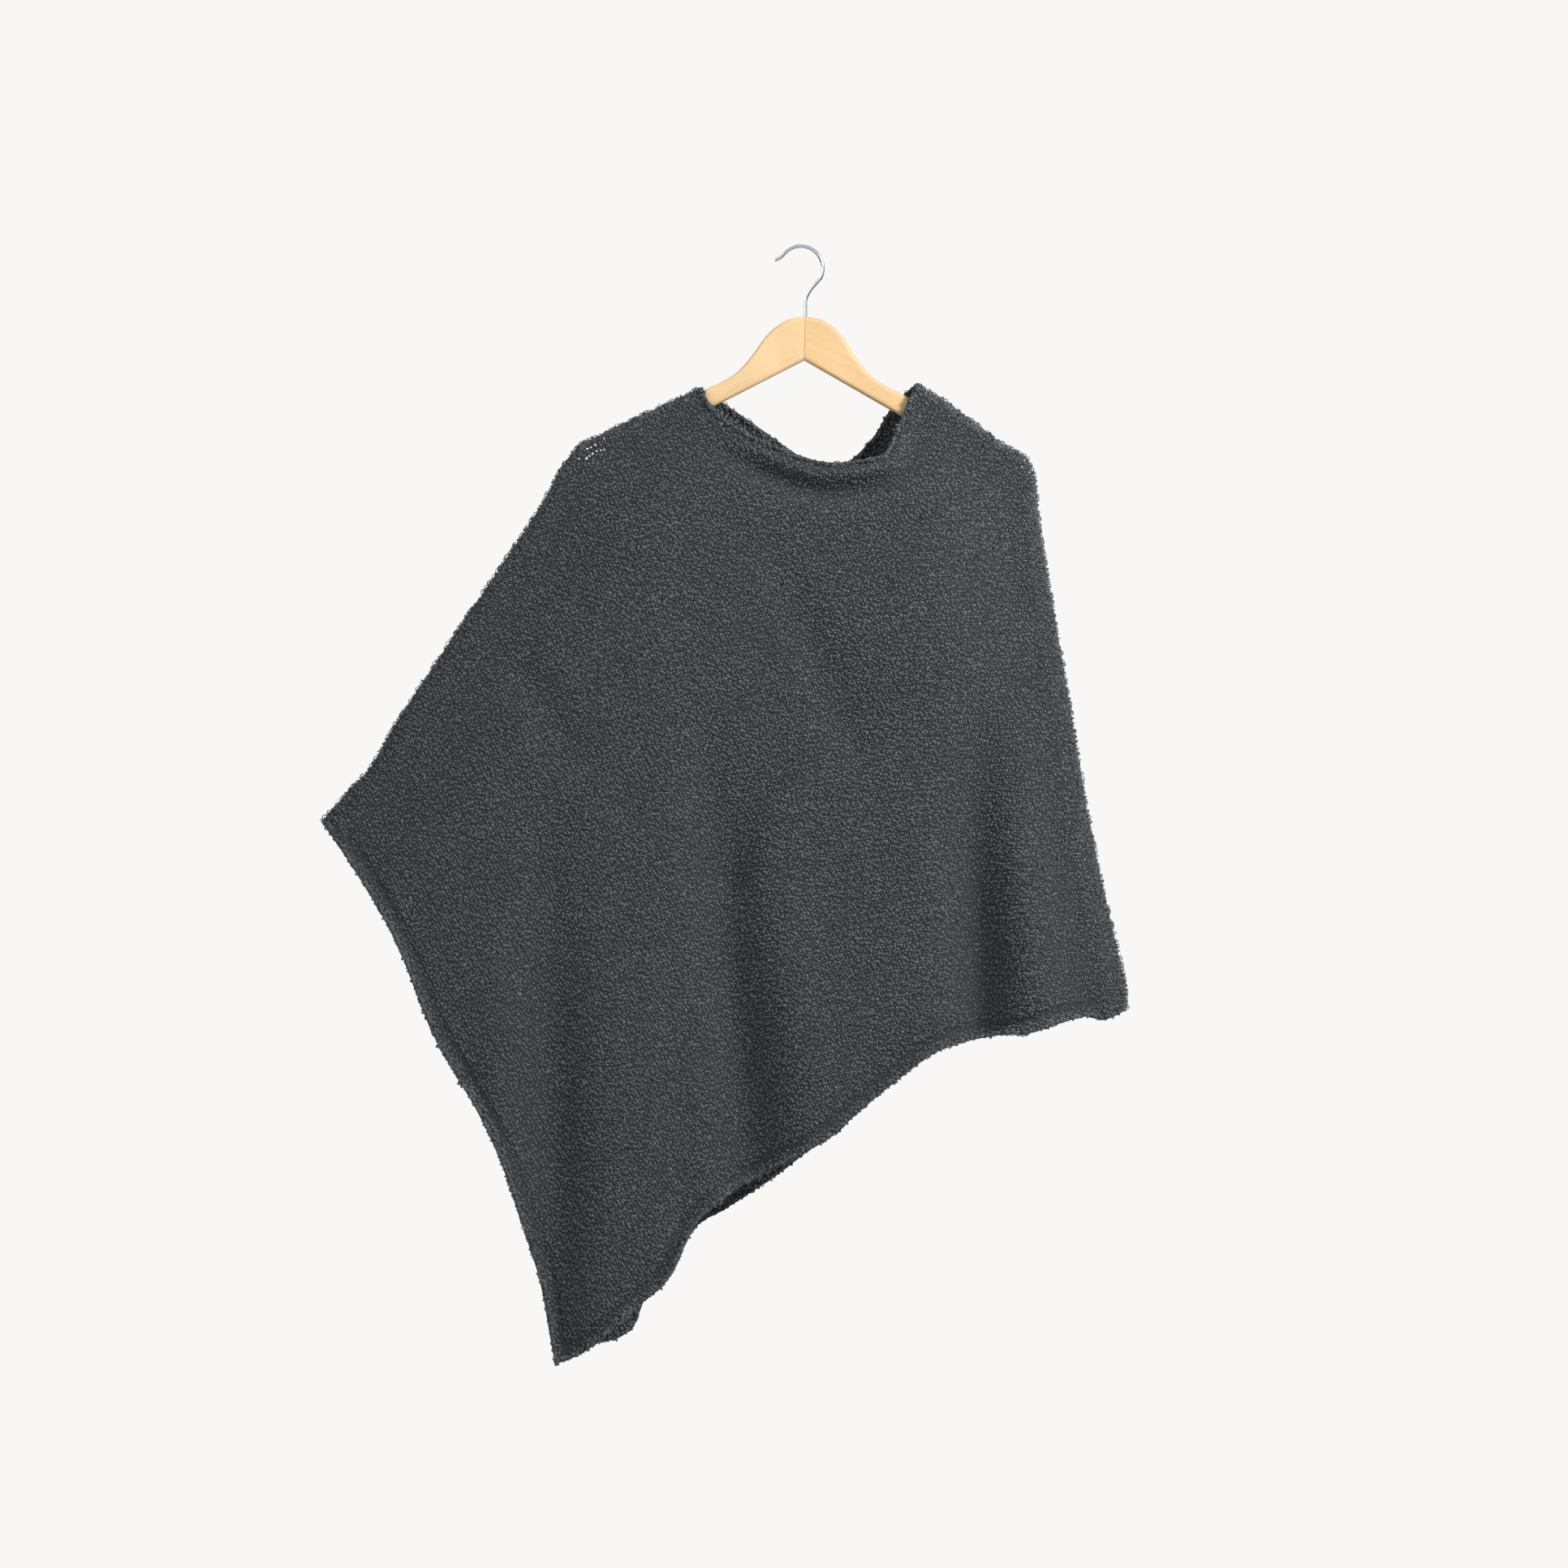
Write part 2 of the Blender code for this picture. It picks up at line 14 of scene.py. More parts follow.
import bpy
import numpy as np
from bpy.props import FloatProperty, FloatVectorProperty, IntProperty, PointerProperty
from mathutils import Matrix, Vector


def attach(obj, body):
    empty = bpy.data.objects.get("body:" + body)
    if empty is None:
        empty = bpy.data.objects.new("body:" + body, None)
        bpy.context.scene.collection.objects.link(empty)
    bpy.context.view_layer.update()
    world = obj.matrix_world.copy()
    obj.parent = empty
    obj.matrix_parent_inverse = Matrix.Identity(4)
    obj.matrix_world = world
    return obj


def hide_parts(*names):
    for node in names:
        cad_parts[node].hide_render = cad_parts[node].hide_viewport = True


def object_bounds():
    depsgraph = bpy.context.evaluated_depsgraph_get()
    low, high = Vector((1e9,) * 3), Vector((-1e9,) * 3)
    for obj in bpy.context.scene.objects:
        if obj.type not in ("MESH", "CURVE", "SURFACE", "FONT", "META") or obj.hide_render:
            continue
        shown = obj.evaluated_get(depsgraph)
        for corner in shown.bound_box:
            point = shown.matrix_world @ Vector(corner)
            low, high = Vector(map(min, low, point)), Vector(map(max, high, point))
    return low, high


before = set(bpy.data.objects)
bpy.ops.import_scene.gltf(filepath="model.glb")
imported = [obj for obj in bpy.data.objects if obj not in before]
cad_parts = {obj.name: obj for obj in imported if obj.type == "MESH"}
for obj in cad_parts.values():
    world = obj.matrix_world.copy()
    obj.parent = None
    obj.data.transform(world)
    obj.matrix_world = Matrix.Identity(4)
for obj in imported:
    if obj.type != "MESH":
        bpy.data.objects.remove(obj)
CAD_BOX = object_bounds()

bl_info = {
    "name": "Poncho on a hanger",
    "version": (1, 0, 0),
    "blender": (4, 5, 0),
    "location": "View3D > Sidebar > Poncho",
    "description": "Builds a boucle knit poncho, its hanger's finishes and a studio round it",
    "category": "Object",
}

MM = 0.001
BAKE_MAP = "OFBake"

# How the wooden hanger lies under the cloth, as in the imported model
WALL = 3.0
GAP = 0.3
SEAM_STRIP = 1.2
WOOD_TOP = (4.3, -65.7)
WOOD_TILT = math.radians(1.4)
SHOULDER_SLOPE = 0.5
UNDERSIDE_SLOPE = 0.5415
NOTCH_DROP = 41.9
CLOTH_REACH = 216.0
CROWN_END = (96.5, 72.9)  # reach, drop where the straight shoulder starts
RIGHT_ARM_REACH = 186.0  # where the right closed edge meets the shoulder
LEFT_LEAVE_ANGLE = 32.0  # how far each closed edge follows the arm's round end, in degrees
RIGHT_LEAVE_ANGLE = 55.0

# The hook's wire and the glue line of the wood's joint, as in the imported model
WIRE_RADIUS = 1.7
HOOK_RADIUS = 21.1
HOOK_ANGLES = (137.0, -28.0)
HOOK_TIP = ((-19.6, -9.2), (-24.9, -11.9))
HOOK_NECK = ((12.6, -36.0), (7.6, -42.6), (4.8, -49.0), (4.35, -56.0))
STEM_END = (4.35, -78.0)
HOOK_STEPS = 23  # points round the circle
CAP_ANGLES = (18.0, 36.0, 54.0, 72.0)  # rings of a bar's round end
GLUE_STEPS = 12
GLUE_TOP = 0.4
GLUE_HALF = (0.14, 1.7)  # half its width in the joint, and half its depth from front to back
GLUE_MIDDLE = 4.2

# The cloth's outline from the front: x, z
NECK = {
    "front": (
        (-84.1, -152.6), (-61.8, -171.2), (-32.1, -186.8), (-2.4, -199.5), (20.0, -205.8),
        (42.2, -206.2), (71.9, -200.9), (82.0, -194.0), (88.3, -179.3), (97.2, -160.1),
        (103.2, -146.6),
    ),
    "back": (
        (-86.0, -141.5), (-71.5, -149.4), (-42.7, -168.8), (-17.1, -186.7), (7.8, -203.0),
        (25.6, -209.0), (43.5, -205.4), (68.9, -180.8), (83.9, -157.2), (98.7, -139.3),
    ),
}
RIGHT_NECK_PEAK = (
    (111.3, -129.5), (121.0, -136.2), (138.8, -146.6), (156.0, -160.0), (170.0, -169.6),
)
LEFT_SIDE = (
    (-229.2, -210.8), (-257.0, -259.8), (-320.0, -353.0), (-382.0, -446.0), (-410.5, -494.5),
    (-430.2, -516.1), (-458.4, -548.0),
)
RIGHT_SIDE = (
    (225.6, -226.0), (227.9, -260.0), (239.3, -329.7), (251.4, -399.6), (263.0, -469.5),
    (274.9, -539.5), (289.0, -609.4), (304.4, -675.0), (311.5, -708.0), (312.6, -727.0),
)
HEM_LEFT = {
    "front": (
        (-436.7, -578.3), (-398.0, -638.5), (-375.9, -685.3), (-352.2, -746.0), (-329.0, -788.7),
        (-305.6, -828.3), (-282.2, -879.8), (-258.9, -950.0), (-247.3, -991.4), (-239.0, -1044.0),
        (-234.7, -1068.6),
    ),
    "back": (
        (-435.0, -579.5), (-396.6, -640.0), (-374.2, -686.5), (-350.0, -747.0), (-327.0, -790.0),
        (-303.5, -830.0), (-280.0, -881.0), (-256.5, -950.5), (-245.0, -991.6), (-236.8, -1036.0),
        (-231.0, -1057.0),
    ),
}
HEM_RIGHT = {
    "front": (
        (-206.7, -1054.6), (-184.9, -1037.6), (-159.3, -1014.2), (-132.1, -991.6),
        (-118.9, -973.0), (-107.2, -945.8), (-94.0, -926.4), (-62.2, -900.8), (-20.2, -876.5),
        (29.5, -848.0), (52.8, -827.0), (99.5, -788.6), (134.4, -765.6), (192.7, -751.6),
        (214.0, -750.5), (267.0, -735.0), (288.0, -738.0), (303.5, -732.5),
    ),
    "back": (
        (-205.0, -1052.0), (-174.8, -1044.0), (-160.4, -1033.5), (-150.0, -1007.0),
        (-126.0, -979.0), (-100.0, -939.6), (-74.6, -924.5), (-38.9, -900.5), (2.0, -870.5),
        (31.0, -845.5), (57.0, -820.5), (104.0, -783.0), (140.0, -759.0), (196.0, -746.5),
        (268.0, -732.0), (288.0, -735.0), (303.5, -730.0),
    ),
}

# How far the cloth stands from the plane of the seams, and how wide its closed edge rounds over
LEVELS = (  # z, depth at the closed edge, radius of the closed edge, depth of the body
    (-120.0, 12.0, 8.0, 22.0),
    (-215.0, 12.0, 8.5, 26.0),
    (-300.0, 14.0, 15.0, 28.0),
    (-500.0, 18.0, 22.0, 33.0),
    (-740.0, 20.0, 24.0, 35.0),
    (-900.0, 19.0, 24.0, 33.0),
    (-1070.0, 16.0, 20.0, 23.0),
)
AT_EDGE, RADIUS, BODY = 1, 2, 3  # the columns of LEVELS
BODY_RUN = 95.0

# A fold grows over the first share of its crest, from a small start, and away from closed edges
FOLD_FADE = 0.8
FOLD_LEAD = 0.1
FOLD_RUN = 2.0
FOLD_START = 0.3

# Folds: x, z of three points on the crest line, half widths at its ends, and height (- is a trough)
FOLDS = {
    "front": (
        (176.0, -400.0, 166.0, -570.0, 172.0, -775.0, 22.0, 26.0, -20.0),
        (216.0, -420.0, 218.0, -590.0, 234.0, -760.0, 24.0, 30.0, 13.0),
        (-84.0, -430.0, -72.0, -640.0, -48.0, -910.0, 26.0, 36.0, -20.0),
        (-34.0, -540.0, -10.0, -700.0, 18.0, -880.0, 28.0, 40.0, 7.0),
        (6.0, -470.0, -36.0, -520.0, -66.0, -600.0, 19.0, 20.0, -5.0),
        (-122.0, -580.0, -116.0, -740.0, -108.0, -930.0, 20.0, 22.0, -6.0),
        (-236.0, -480.0, -238.0, -740.0, -236.0, -1060.0, 26.0, 28.0, -15.0),
        (-284.0, -600.0, -288.0, -770.0, -270.0, -930.0, 25.0, 25.0, 7.0),
        (-182.0, -560.0, -180.0, -780.0, -178.0, -1020.0, 24.0, 28.0, 3.0),
        (-54.0, -240.0, 0.0, -350.0, 50.0, -470.0, 19.0, 20.0, -4.0),
        (-304.0, -365.0, -262.0, -410.0, -220.0, -476.0, 20.0, 20.0, -4.0),
        (92.0, -262.0, 112.0, -310.0, 104.0, -372.0, 70.0, 70.0, 8.0),
    ),
    "back": (
        (-150.0, -390.0, -168.0, -640.0, -172.0, -1040.0, 24.0, 32.0, -14.0),
        (-96.0, -440.0, -108.0, -650.0, -96.0, -930.0, 28.0, 36.0, 10.0),
        (38.0, -370.0, 46.0, -600.0, 64.0, -830.0, 22.0, 30.0, -15.0),
        (98.0, -460.0, 108.0, -620.0, 124.0, -780.0, 26.0, 32.0, 9.0),
        (206.0, -480.0, 212.0, -630.0, 224.0, -755.0, 20.0, 24.0, -11.0),
        (-338.0, -500.0, -322.0, -650.0, -300.0, -850.0, 22.0, 26.0, -9.0),
        (-250.0, -540.0, -246.0, -760.0, -240.0, -960.0, 26.0, 28.0, 7.0),
        (-24.0, -560.0, -30.0, -700.0, -30.0, -880.0, 22.0, 24.0, -5.0),
        (150.0, -235.0, 98.0, -305.0, 30.0, -380.0, 20.0, 20.0, -5.0),
        (-168.0, -245.0, -132.0, -320.0, -104.0, -410.0, 21.0, 21.0, -4.0),
    ),
}

# Bands along an open edge: distance from the edge, half width, height
NECK_FADE = 85.0
NECK_RUN = 0.4
NECK_BANDS = {
    "front": ((11.0, 9.0, 7.0), (29.0, 10.0, -5.5)),
    "back": ((12.0, 10.0, 2.5), (32.0, 14.0, -1.5)),
}
HEM_FADE = 12.0
HEM_BANDS = ((4.5, 4.5, 2.2), (12.0, 3.5, -2.6))

# The raster that holds the cloth's depth before its closed edges are rounded over
RASTER_START = np.array((-476.0, -1088.0))
RASTER_STEP = 4.0
RASTER_SHAPE = (204, 246)

# Knitted courses: z - lean(z) * run(x) is the same all along one course
LEAN_TOP = 0.30
LEAN_BOTTOM = 0.72
LEAN_HEIGHTS = (-150.0, -1000.0)
RUN_LEFT = -300.0
RUN_RIGHT = 240.0
RUN_SHARE = (1.0, 0.06)

# Beads round an open edge: how many to a step, how far inside the outline, and round what circle
EDGE_ROWS = 5
EDGE_INSET = 2.7
EDGE_RADIUS = 1.9
EDGE_TURN = 115.0
TUFT = (201.0, 14.0)  # x, half width of the frayed stretch of the front's hem
TUFT_TOP = -700.0

# The cloth's grid: the hem's lowest point as a share of a row, and how long rows and columns are
TIP_AT = 0.36
WIDEST_ROW = 760.0
LONGEST_COLUMN = 900.0
PATCH_STEPS = 241
NEAREST_SHARE = 0.02  # of the closed edge's radius, within which the depth no longer shrinks

# Nubs: rows round the closed edges, and how near the field of nubs comes to each kind of edge
RIM_ANGLES = (-2.0, 4.0, 13.0, 22.0, 31.0, 40.0, 49.0)
RIM_JITTER = 4.0
FIELD_START = 0.38  # of the closed edge's radius
FIELD_MARGIN = 1.8
BEAD_SPACING = 2.7
SIZE_SPREAD = 0.14
BEAD_SIZE_SPREAD = 0.26
SEEDS = {"front": 11, "back": 23, "glints": 5}

# Loops and fibres: smallest and largest radius, arc in degrees, length and thickness
LOOP_RADIUS = 0.9
LARGEST_LOOPS = (1.7, 2.6, 3.8)  # on the face, on the edges, on the frayed stretch
LOOP_ARC = (-25.0, 205.0)
LOOP_THICKNESS = (0.32, 0.58)
FIBRE_LENGTH = (5.0, 12.0)
FIBRE_THICKNESS = (0.11, 0.18)

# The inside of the cloth has nubs where it shows: near the neck and the hem, clear of the wood
SEEN_BELOW_NECK = 70.0
SEEN_ABOVE_HEM = 42.0
CLEAR_OF_WOOD = 12.5
CLEAR_BELOW_WOOD = 9.0

OPEN_STITCHES = (  # x, z, radius of the stretched stitches over the hanger's ends
    (-204.3, -192.9, 1.0), (-200.5, -191.4, 0.9), (-196.6, -189.0, 1.2), (-188.0, -182.8, 0.9),
    (-212.1, -202.3, 0.9), (-205.1, -202.3, 1.2), (-202.0, -199.9, 0.9), (-198.9, -197.6, 1.1),
    (-195.0, -195.3, 0.9), (-191.1, -194.5, 0.8), (-188.0, -193.7, 0.9), (207.0, -196.0, 0.8),
    (214.0, -203.5, 0.9), (211.0, -210.0, 0.8), (219.0, -215.0, 0.8),
)


class KnitSettings(bpy.types.PropertyGroup):
    """Sizes and colours of the knitted cloth"""

    thickness: FloatProperty(
        name="Cloth thickness", description="Thickness of the cloth under its nubs",
        default=1.6 * MM, min=0.5 * MM, max=2.4 * MM, unit="LENGTH",
    )
    inset: FloatProperty(
        name="Inset", description="How far the cloth lies inside the packed walls' outer face",
        default=1.2 * MM, min=0.0, max=2.0 * MM, unit="LENGTH",
    )
    grid: FloatProperty(
        name="Grid", description="Size of one cell of the cloth's mesh",
        default=7.5 * MM, min=4.0 * MM, max=20.0 * MM, unit="LENGTH",
    )
    course: FloatProperty(
        name="Course spacing", description="Distance from one knitted course to the next",
        default=6.0 * MM, min=3.0 * MM, max=20.0 * MM, unit="LENGTH",
    )
    stitch: FloatProperty(
        name="Nub spacing", description="Distance from one yarn nub to the next in a row",
        default=3.1 * MM, min=2.5 * MM, max=20.0 * MM, unit="LENGTH",
    )
    nub: FloatVectorProperty(
        name="Nub size", description="Half length along the course, half width and height",
        default=(2.2 * MM, 2.0 * MM, 1.6 * MM), size=3, unit="LENGTH",
    )
    loops: IntProperty(
        name="Loops", description="Small yarn loops that stand out of each panel's face",
        default=1000, min=0, max=3000,
    )
    edge_loops: IntProperty(
        name="Edge loops", description="Small yarn loops along each kind of edge of each panel",
        default=640, min=0, max=1200,
    )
    fibres: IntProperty(
        name="Fibres", description="Loose pale fibres on each panel",
        default=160, min=0, max=1000,
    )
    dark: FloatVectorProperty(
        name="Dark yarn", description="Colour of the darkest yarn",
        default=(0.036, 0.0405, 0.0445), size=3, subtype="COLOR", min=0.0, max=1.0,
    )
    light: FloatVectorProperty(
        name="Light yarn", description="Colour of the lightest yarn",
        default=(0.180, 0.203, 0.219), size=3, subtype="COLOR", min=0.0, max=1.0,
    )
    warm: FloatVectorProperty(
        name="Warm yarn", description="Colour of the few browner plies",
        default=(0.100, 0.096, 0.092), size=3, subtype="COLOR", min=0.0, max=1.0,
    )


class HangerSettings(bpy.types.PropertyGroup):
    """Colours and gloss of the wood and the wire"""

    wood_left: FloatVectorProperty(
        name="Left half", description="Colour of the left half's wood",
        default=(0.810, 0.570, 0.305), size=3, subtype="COLOR", min=0.0, max=1.0,
    )
    wood_right: FloatVectorProperty(
        name="Right half", description="Colour of the right half's wood",
        default=(0.775, 0.520, 0.265), size=3, subtype="COLOR", min=0.0, max=1.0,
    )
    grain: FloatVectorProperty(
        name="Grain", description="Colour of the grain lines",
        default=(0.62, 0.36, 0.15), size=3, subtype="COLOR", min=0.0, max=1.0,
    )
    varnish: FloatProperty(
        name="Varnish roughness", description="Roughness of the satin varnish",
        default=0.38, min=0.05, max=1.0, subtype="FACTOR",
    )
    chrome: FloatProperty(
        name="Wire roughness", description="Roughness of the plated wire",
        default=0.12, min=0.02, max=1.0, subtype="FACTOR",
    )


class StageSettings(bpy.types.PropertyGroup):
    """The studio and the camera"""

    paper: FloatVectorProperty(
        name="Paper", description="Colour of the floor and the backdrop",
        default=(0.939, 0.930, 0.913), size=3, subtype="COLOR", min=0.0, max=1.0,
    )
    key_power: FloatProperty(
        name="Key light", description="Power of the soft light above the right side",
        default=24.0, min=0.0, unit="POWER",
    )
    fill_power: FloatProperty(
        name="Fill light", description="Power of the wide soft light above the left front",
        default=28.0, min=0.0, unit="POWER",
    )
    rear_power: FloatProperty(
        name="Rear light", description="Power of the soft light behind",
        default=28.0, min=0.0, unit="POWER",
    )
    ambient: FloatProperty(
        name="Ambient light", description="Strength of the light from all sides",
        default=0.22, min=0.0, max=2.0,
    )
    distance: FloatProperty(
        name="Camera distance", description="From the camera to the plane of the seams",
        default=5.0, min=1.0, unit="LENGTH",
    )
    frame_width: FloatProperty(
        name="Frame width", description="Width of the picture at the plane of the seams",
        default=1.501, min=0.1, unit="LENGTH",
    )
    floor_drop: FloatProperty(
        name="Floor drop", description="From the lowest point of the cloth down to the floor",
        default=0.22, min=0.0, unit="LENGTH",
    )


def smooth_path(points, steps=8):
    """A Catmull-Rom curve through the points, with the given number of steps between two."""
    p = np.array(points, float)
    p = np.vstack((2 * p[0] - p[1], p, 2 * p[-1] - p[-2]))
    t = np.linspace(0.0, 1.0, steps, endpoint=False)[:, None]
    runs = []
    for a, b, c, d in zip(p[:-3], p[1:-2], p[2:-1], p[3:]):
        cubic = (3 * b - 3 * c + d - a) * t**3 + (2 * a - 5 * b + 4 * c - d) * t**2
        runs.append(0.5 * (2 * b + (c - a) * t + cubic))
    runs.append(p[-2:-1])
    return np.vstack(runs)


def along(path, share):
    """Points at the given shares of a path's length."""
    steps = np.hypot(*np.diff(path, axis=0).T)
    reached = np.concatenate(([0.0], np.cumsum(steps)))
    wanted = np.asarray(share) * reached[-1]
    return np.stack([np.interp(wanted, reached, path[:, k]) for k in (0, 1)], -1)


def path_length(path):
    """The sum of a path's steps."""
    return float(np.hypot(*np.diff(path, axis=0).T).sum())


def nearest(points, path, block=6000):
    """Distance from each point to a path, the share of its steps passed there, and the foot."""
    start, step = path[:-1], np.diff(path, axis=0)
    found = []
    for first in range(0, len(points), block):
        some = points[first : first + block]
        offset = some[:, None, :] - start
        part = np.clip((offset * step).sum(-1) / (step**2).sum(-1), 0.0, 1.0)
        gap = offset - part[..., None] * step
        square = (gap**2).sum(-1)
        best = square.argmin(1)
        row = np.arange(len(some))
        share = (best + part[row, best]) / len(step)
        found.append(np.column_stack((np.sqrt(square[row, best]), share, some - gap[row, best])))
    found = np.vstack(found)
    return found[:, 0], found[:, 1], found[:, 2:]


def smoothstep(value):
    """Three times the square less twice the cube of a value, kept between 0 and 1."""
    value = np.clip(value, 0.0, 1.0)
    return value * value * (3.0 - 2.0 * value)


def bell(value, middle, width):
    """A bell curve: e to the power of minus the square of the distance over the width."""
    return np.exp(-(((value - middle) / width) ** 2))


def unit(vectors):
    """Each vector over its own length."""
    return vectors / np.maximum(np.linalg.norm(vectors, axis=-1, keepdims=True), 1e-9)


def level(z, column):
    """A column of LEVELS at heights z, read between its rows."""
    table = np.array(LEVELS)
    return np.interp(-z, -table[:, 0], table[:, column])


def over_the_arm(side, reach_start, leave_angle):
    """The cloth's closed edge on the hanger: along the shoulder, then round the arm's end."""
    slope = math.atan((SHOULDER_SLOPE + UNDERSIDE_SLOPE) / 2.0)
    radius = 0.0
    for _ in range(20):
        reach = CLOTH_REACH - radius
        top = CROWN_END[1] + SHOULDER_SLOPE * (reach - CROWN_END[0])
        low = NOTCH_DROP + UNDERSIDE_SLOPE * reach
        radius = 0.5 * (low - top) * math.cos(slope)
    centre = np.array((reach, -0.5 * (low + top)))
    angle = math.atan(SHOULDER_SLOPE)
    out = WALL + GAP
    reach = np.linspace(reach_start, centre[0], 6)[:-1]
    drop = CROWN_END[1] + SHOULDER_SLOPE * (reach - CROWN_END[0])
    line = np.stack((reach, -drop), -1) + out * np.array((math.sin(angle), math.cos(angle)))
    turn = slope + np.radians(np.linspace(0.0, leave_angle, 5))
    end = centre + (radius + out) * np.stack((np.sin(turn), np.cos(turn)), -1)
    x, z = (np.vstack((line, end)) * np.array((side, 1.0))).T
    c, s = math.cos(WOOD_TILT), math.sin(WOOD_TILT)
    return np.stack((WOOD_TOP[0] + c * x + s * z, WOOD_TOP[1] - s * x + c * z), -1)


def fold_height(points, folds):
    """Sum of folds: each is a bell curve across a curved crest line, and fades out at its start."""
    total = np.zeros(len(points))
    for x0, z0, x1, z1, x2, z2, width_start, width_end, height in folds:
        distance, place, _ = nearest(points, smooth_path(((x0, z0), (x1, z1), (x2, z2)), 8))
        width = width_start + (width_end - width_start) * place
        total += height * smoothstep(place / FOLD_FADE + FOLD_LEAD) * bell(distance, 0.0, width)
    return total


class Panel:
    """One side of the poncho: its outline, and the depth of its outer face at any (x, z)."""

    def __init__(self, side):
        self.side = side
        self.facing = -1.0 if side == "front" else 1.0
        left_arm = over_the_arm(-1.0, CROWN_END[0], LEFT_LEAVE_ANGLE)
        right_arm = over_the_arm(1.0, RIGHT_ARM_REACH, RIGHT_LEAVE_ANGLE)
        left = np.vstack((left_arm, LEFT_SIDE))
        right = np.vstack((RIGHT_NECK_PEAK, right_arm, RIGHT_SIDE))
        self.left, self.right = smooth_path(left, 6), smooth_path(right, 6)
        self.neck = smooth_path([self.left[0], *NECK[side], self.right[0]])
        self.hem_left = smooth_path([self.left[-1], *HEM_LEFT[side]])
        self.hem_right = smooth_path([HEM_LEFT[side][-1], *HEM_RIGHT[side], self.right[-1]])
        self.hem = np.vstack((self.hem_left, self.hem_right[1:]))
        ring = (self.neck, self.right[1:], self.hem[-2::-1], self.left[-2:0:-1])
        self.outline = np.vstack(ring)
        index = np.indices(RASTER_SHAPE).reshape(2, -1).T
        flat = self.before_rounding(RASTER_START + RASTER_STEP * index)
        self.raster = flat.reshape(RASTER_SHAPE)
        self.slopes = np.gradient(self.raster, RASTER_STEP)

    def before_rounding(self, points):
        """Depth of the body, plus its folds and the bands along the neck and the hem."""
        z = points[:, 1]
        edge, radius, body = (level(z, column) for column in (AT_EDGE, RADIUS, BODY))
        inside = np.minimum(nearest(points, self.left)[0], nearest(points, self.right)[0])
        depth = edge + (body - edge) * smoothstep((inside - radius) / BODY_RUN)
        folds = fold_height(points, FOLDS[self.side])
        depth += folds * smoothstep(inside / (FOLD_RUN * radius) - FOLD_START)
        below, share, _ = nearest(points, self.neck)
        fade = smoothstep((inside - radius) / NECK_FADE) * smoothstep(share / NECK_RUN)
        for middle, width, height in NECK_BANDS[self.side]:
            depth += height * bell(below, middle, width) * fade
        above = nearest(points, self.hem)[0]
        for middle, width, height in HEM_BANDS:
            depth += height * bell(above, middle, width) * smoothstep((inside - radius) / HEM_FADE)
        return depth

    def read(self, raster, points):
        """A raster's value at points, between its four nearest corners."""
        at = (points - RASTER_START) / RASTER_STEP
        cell = np.clip(np.floor(at).astype(int), 0, np.array(RASTER_SHAPE) - 2)
        (i, j), (s, t) = cell.T, (at - cell).T
        low = raster[i, j] * (1 - s) + raster[i + 1, j] * s
        high = raster[i, j + 1] * (1 - s) + raster[i + 1, j + 1] * s
        return low * (1 - t) + high * t

    def surface(self, points):
        """Places on the outer face in 3-D, and the outward normals there.

        Within its radius of a closed edge the depth is multiplied by a quarter circle of the
        distance to that edge, and the normal is the gradient of that product.
        """
        flat = self.read(self.raster, points) - SEAM_STRIP
        slope = np.stack([self.read(s, points) for s in self.slopes], -1)
        near, _, foot = nearest(points, self.left)
        other, _, foot_right = nearest(points, self.right)
        foot = np.where((other < near)[:, None], foot_right, foot)
        near = np.minimum(near, other)
        radius = level(points[:, 1], RADIUS)
        left_over = 1.0 - np.clip(near / radius, NEAREST_SHARE, 1.0)
        rounded = np.sqrt(1.0 - left_over**2)
        inward = unit(points - foot)
        steep = (flat * left_over / (rounded * radius))[:, None] * inward
        slope = slope * rounded[:, None] + steep
        y = self.facing * (SEAM_STRIP + flat * rounded)
        place = np.stack((points[:, 0], y, points[:, 1]), -1)
        normal = np.stack((-slope[:, 0], np.full(len(y), self.facing), -slope[:, 1]), -1)
        return place, unit(normal)

    def holds(self, points, block=6000):
        """True for points inside the outline, by counting the outline's crossings above each."""
        a, b = self.outline, np.roll(self.outline, -1, axis=0)
        inside = []
        for first in range(0, len(points), block):
            x, z = points[first : first + block].T[:, :, None]
            spans = (a[:, 0] > x) != (b[:, 0] > x)
            run = np.where(b[:, 0] == a[:, 0], 1.0, b[:, 0] - a[:, 0])
            cross = a[:, 1] + (x - a[:, 0]) * (b[:, 1] - a[:, 1]) / run
            inside.append((spans & (cross > z)).sum(1) % 2 == 1)
        return np.concatenate(inside)

    def patch(self, u, v):
        """Points (x, z) of the Coons patch between the neck, the hem and the closed edges."""
        share = u / TIP_AT
        left = along(self.hem_left, np.clip(share, 0.0, 1.0))
        right = along(self.hem_right, np.clip((u - TIP_AT) / (1.0 - TIP_AT), 0.0, 1.0))
        hem = np.where((share <= 1.0)[:, None], left, right)
        top = along(self.neck, u)
        start, end = along(self.left, v)[:, None], along(self.right, v)[:, None]
        uu, vv = u[None, :, None], v[:, None, None]
        corners = (1 - uu) * ((1 - vv) * top[0] + vv * hem[0])
        corners += uu * ((1 - vv) * top[-1] + vv * hem[-1])
        return (1 - vv) * top + vv * hem + (1 - uu) * start + uu * end - corners


@functools.lru_cache
def panel_of(side):
    return Panel(side)


def lean(z):
    """How steeply courses rise at height z, linear between the two heights of LEAN_HEIGHTS."""
    share = (z - LEAN_HEIGHTS[0]) / (LEAN_HEIGHTS[1] - LEAN_HEIGHTS[0])
    return LEAN_TOP + (LEAN_BOTTOM - LEAN_TOP) * share


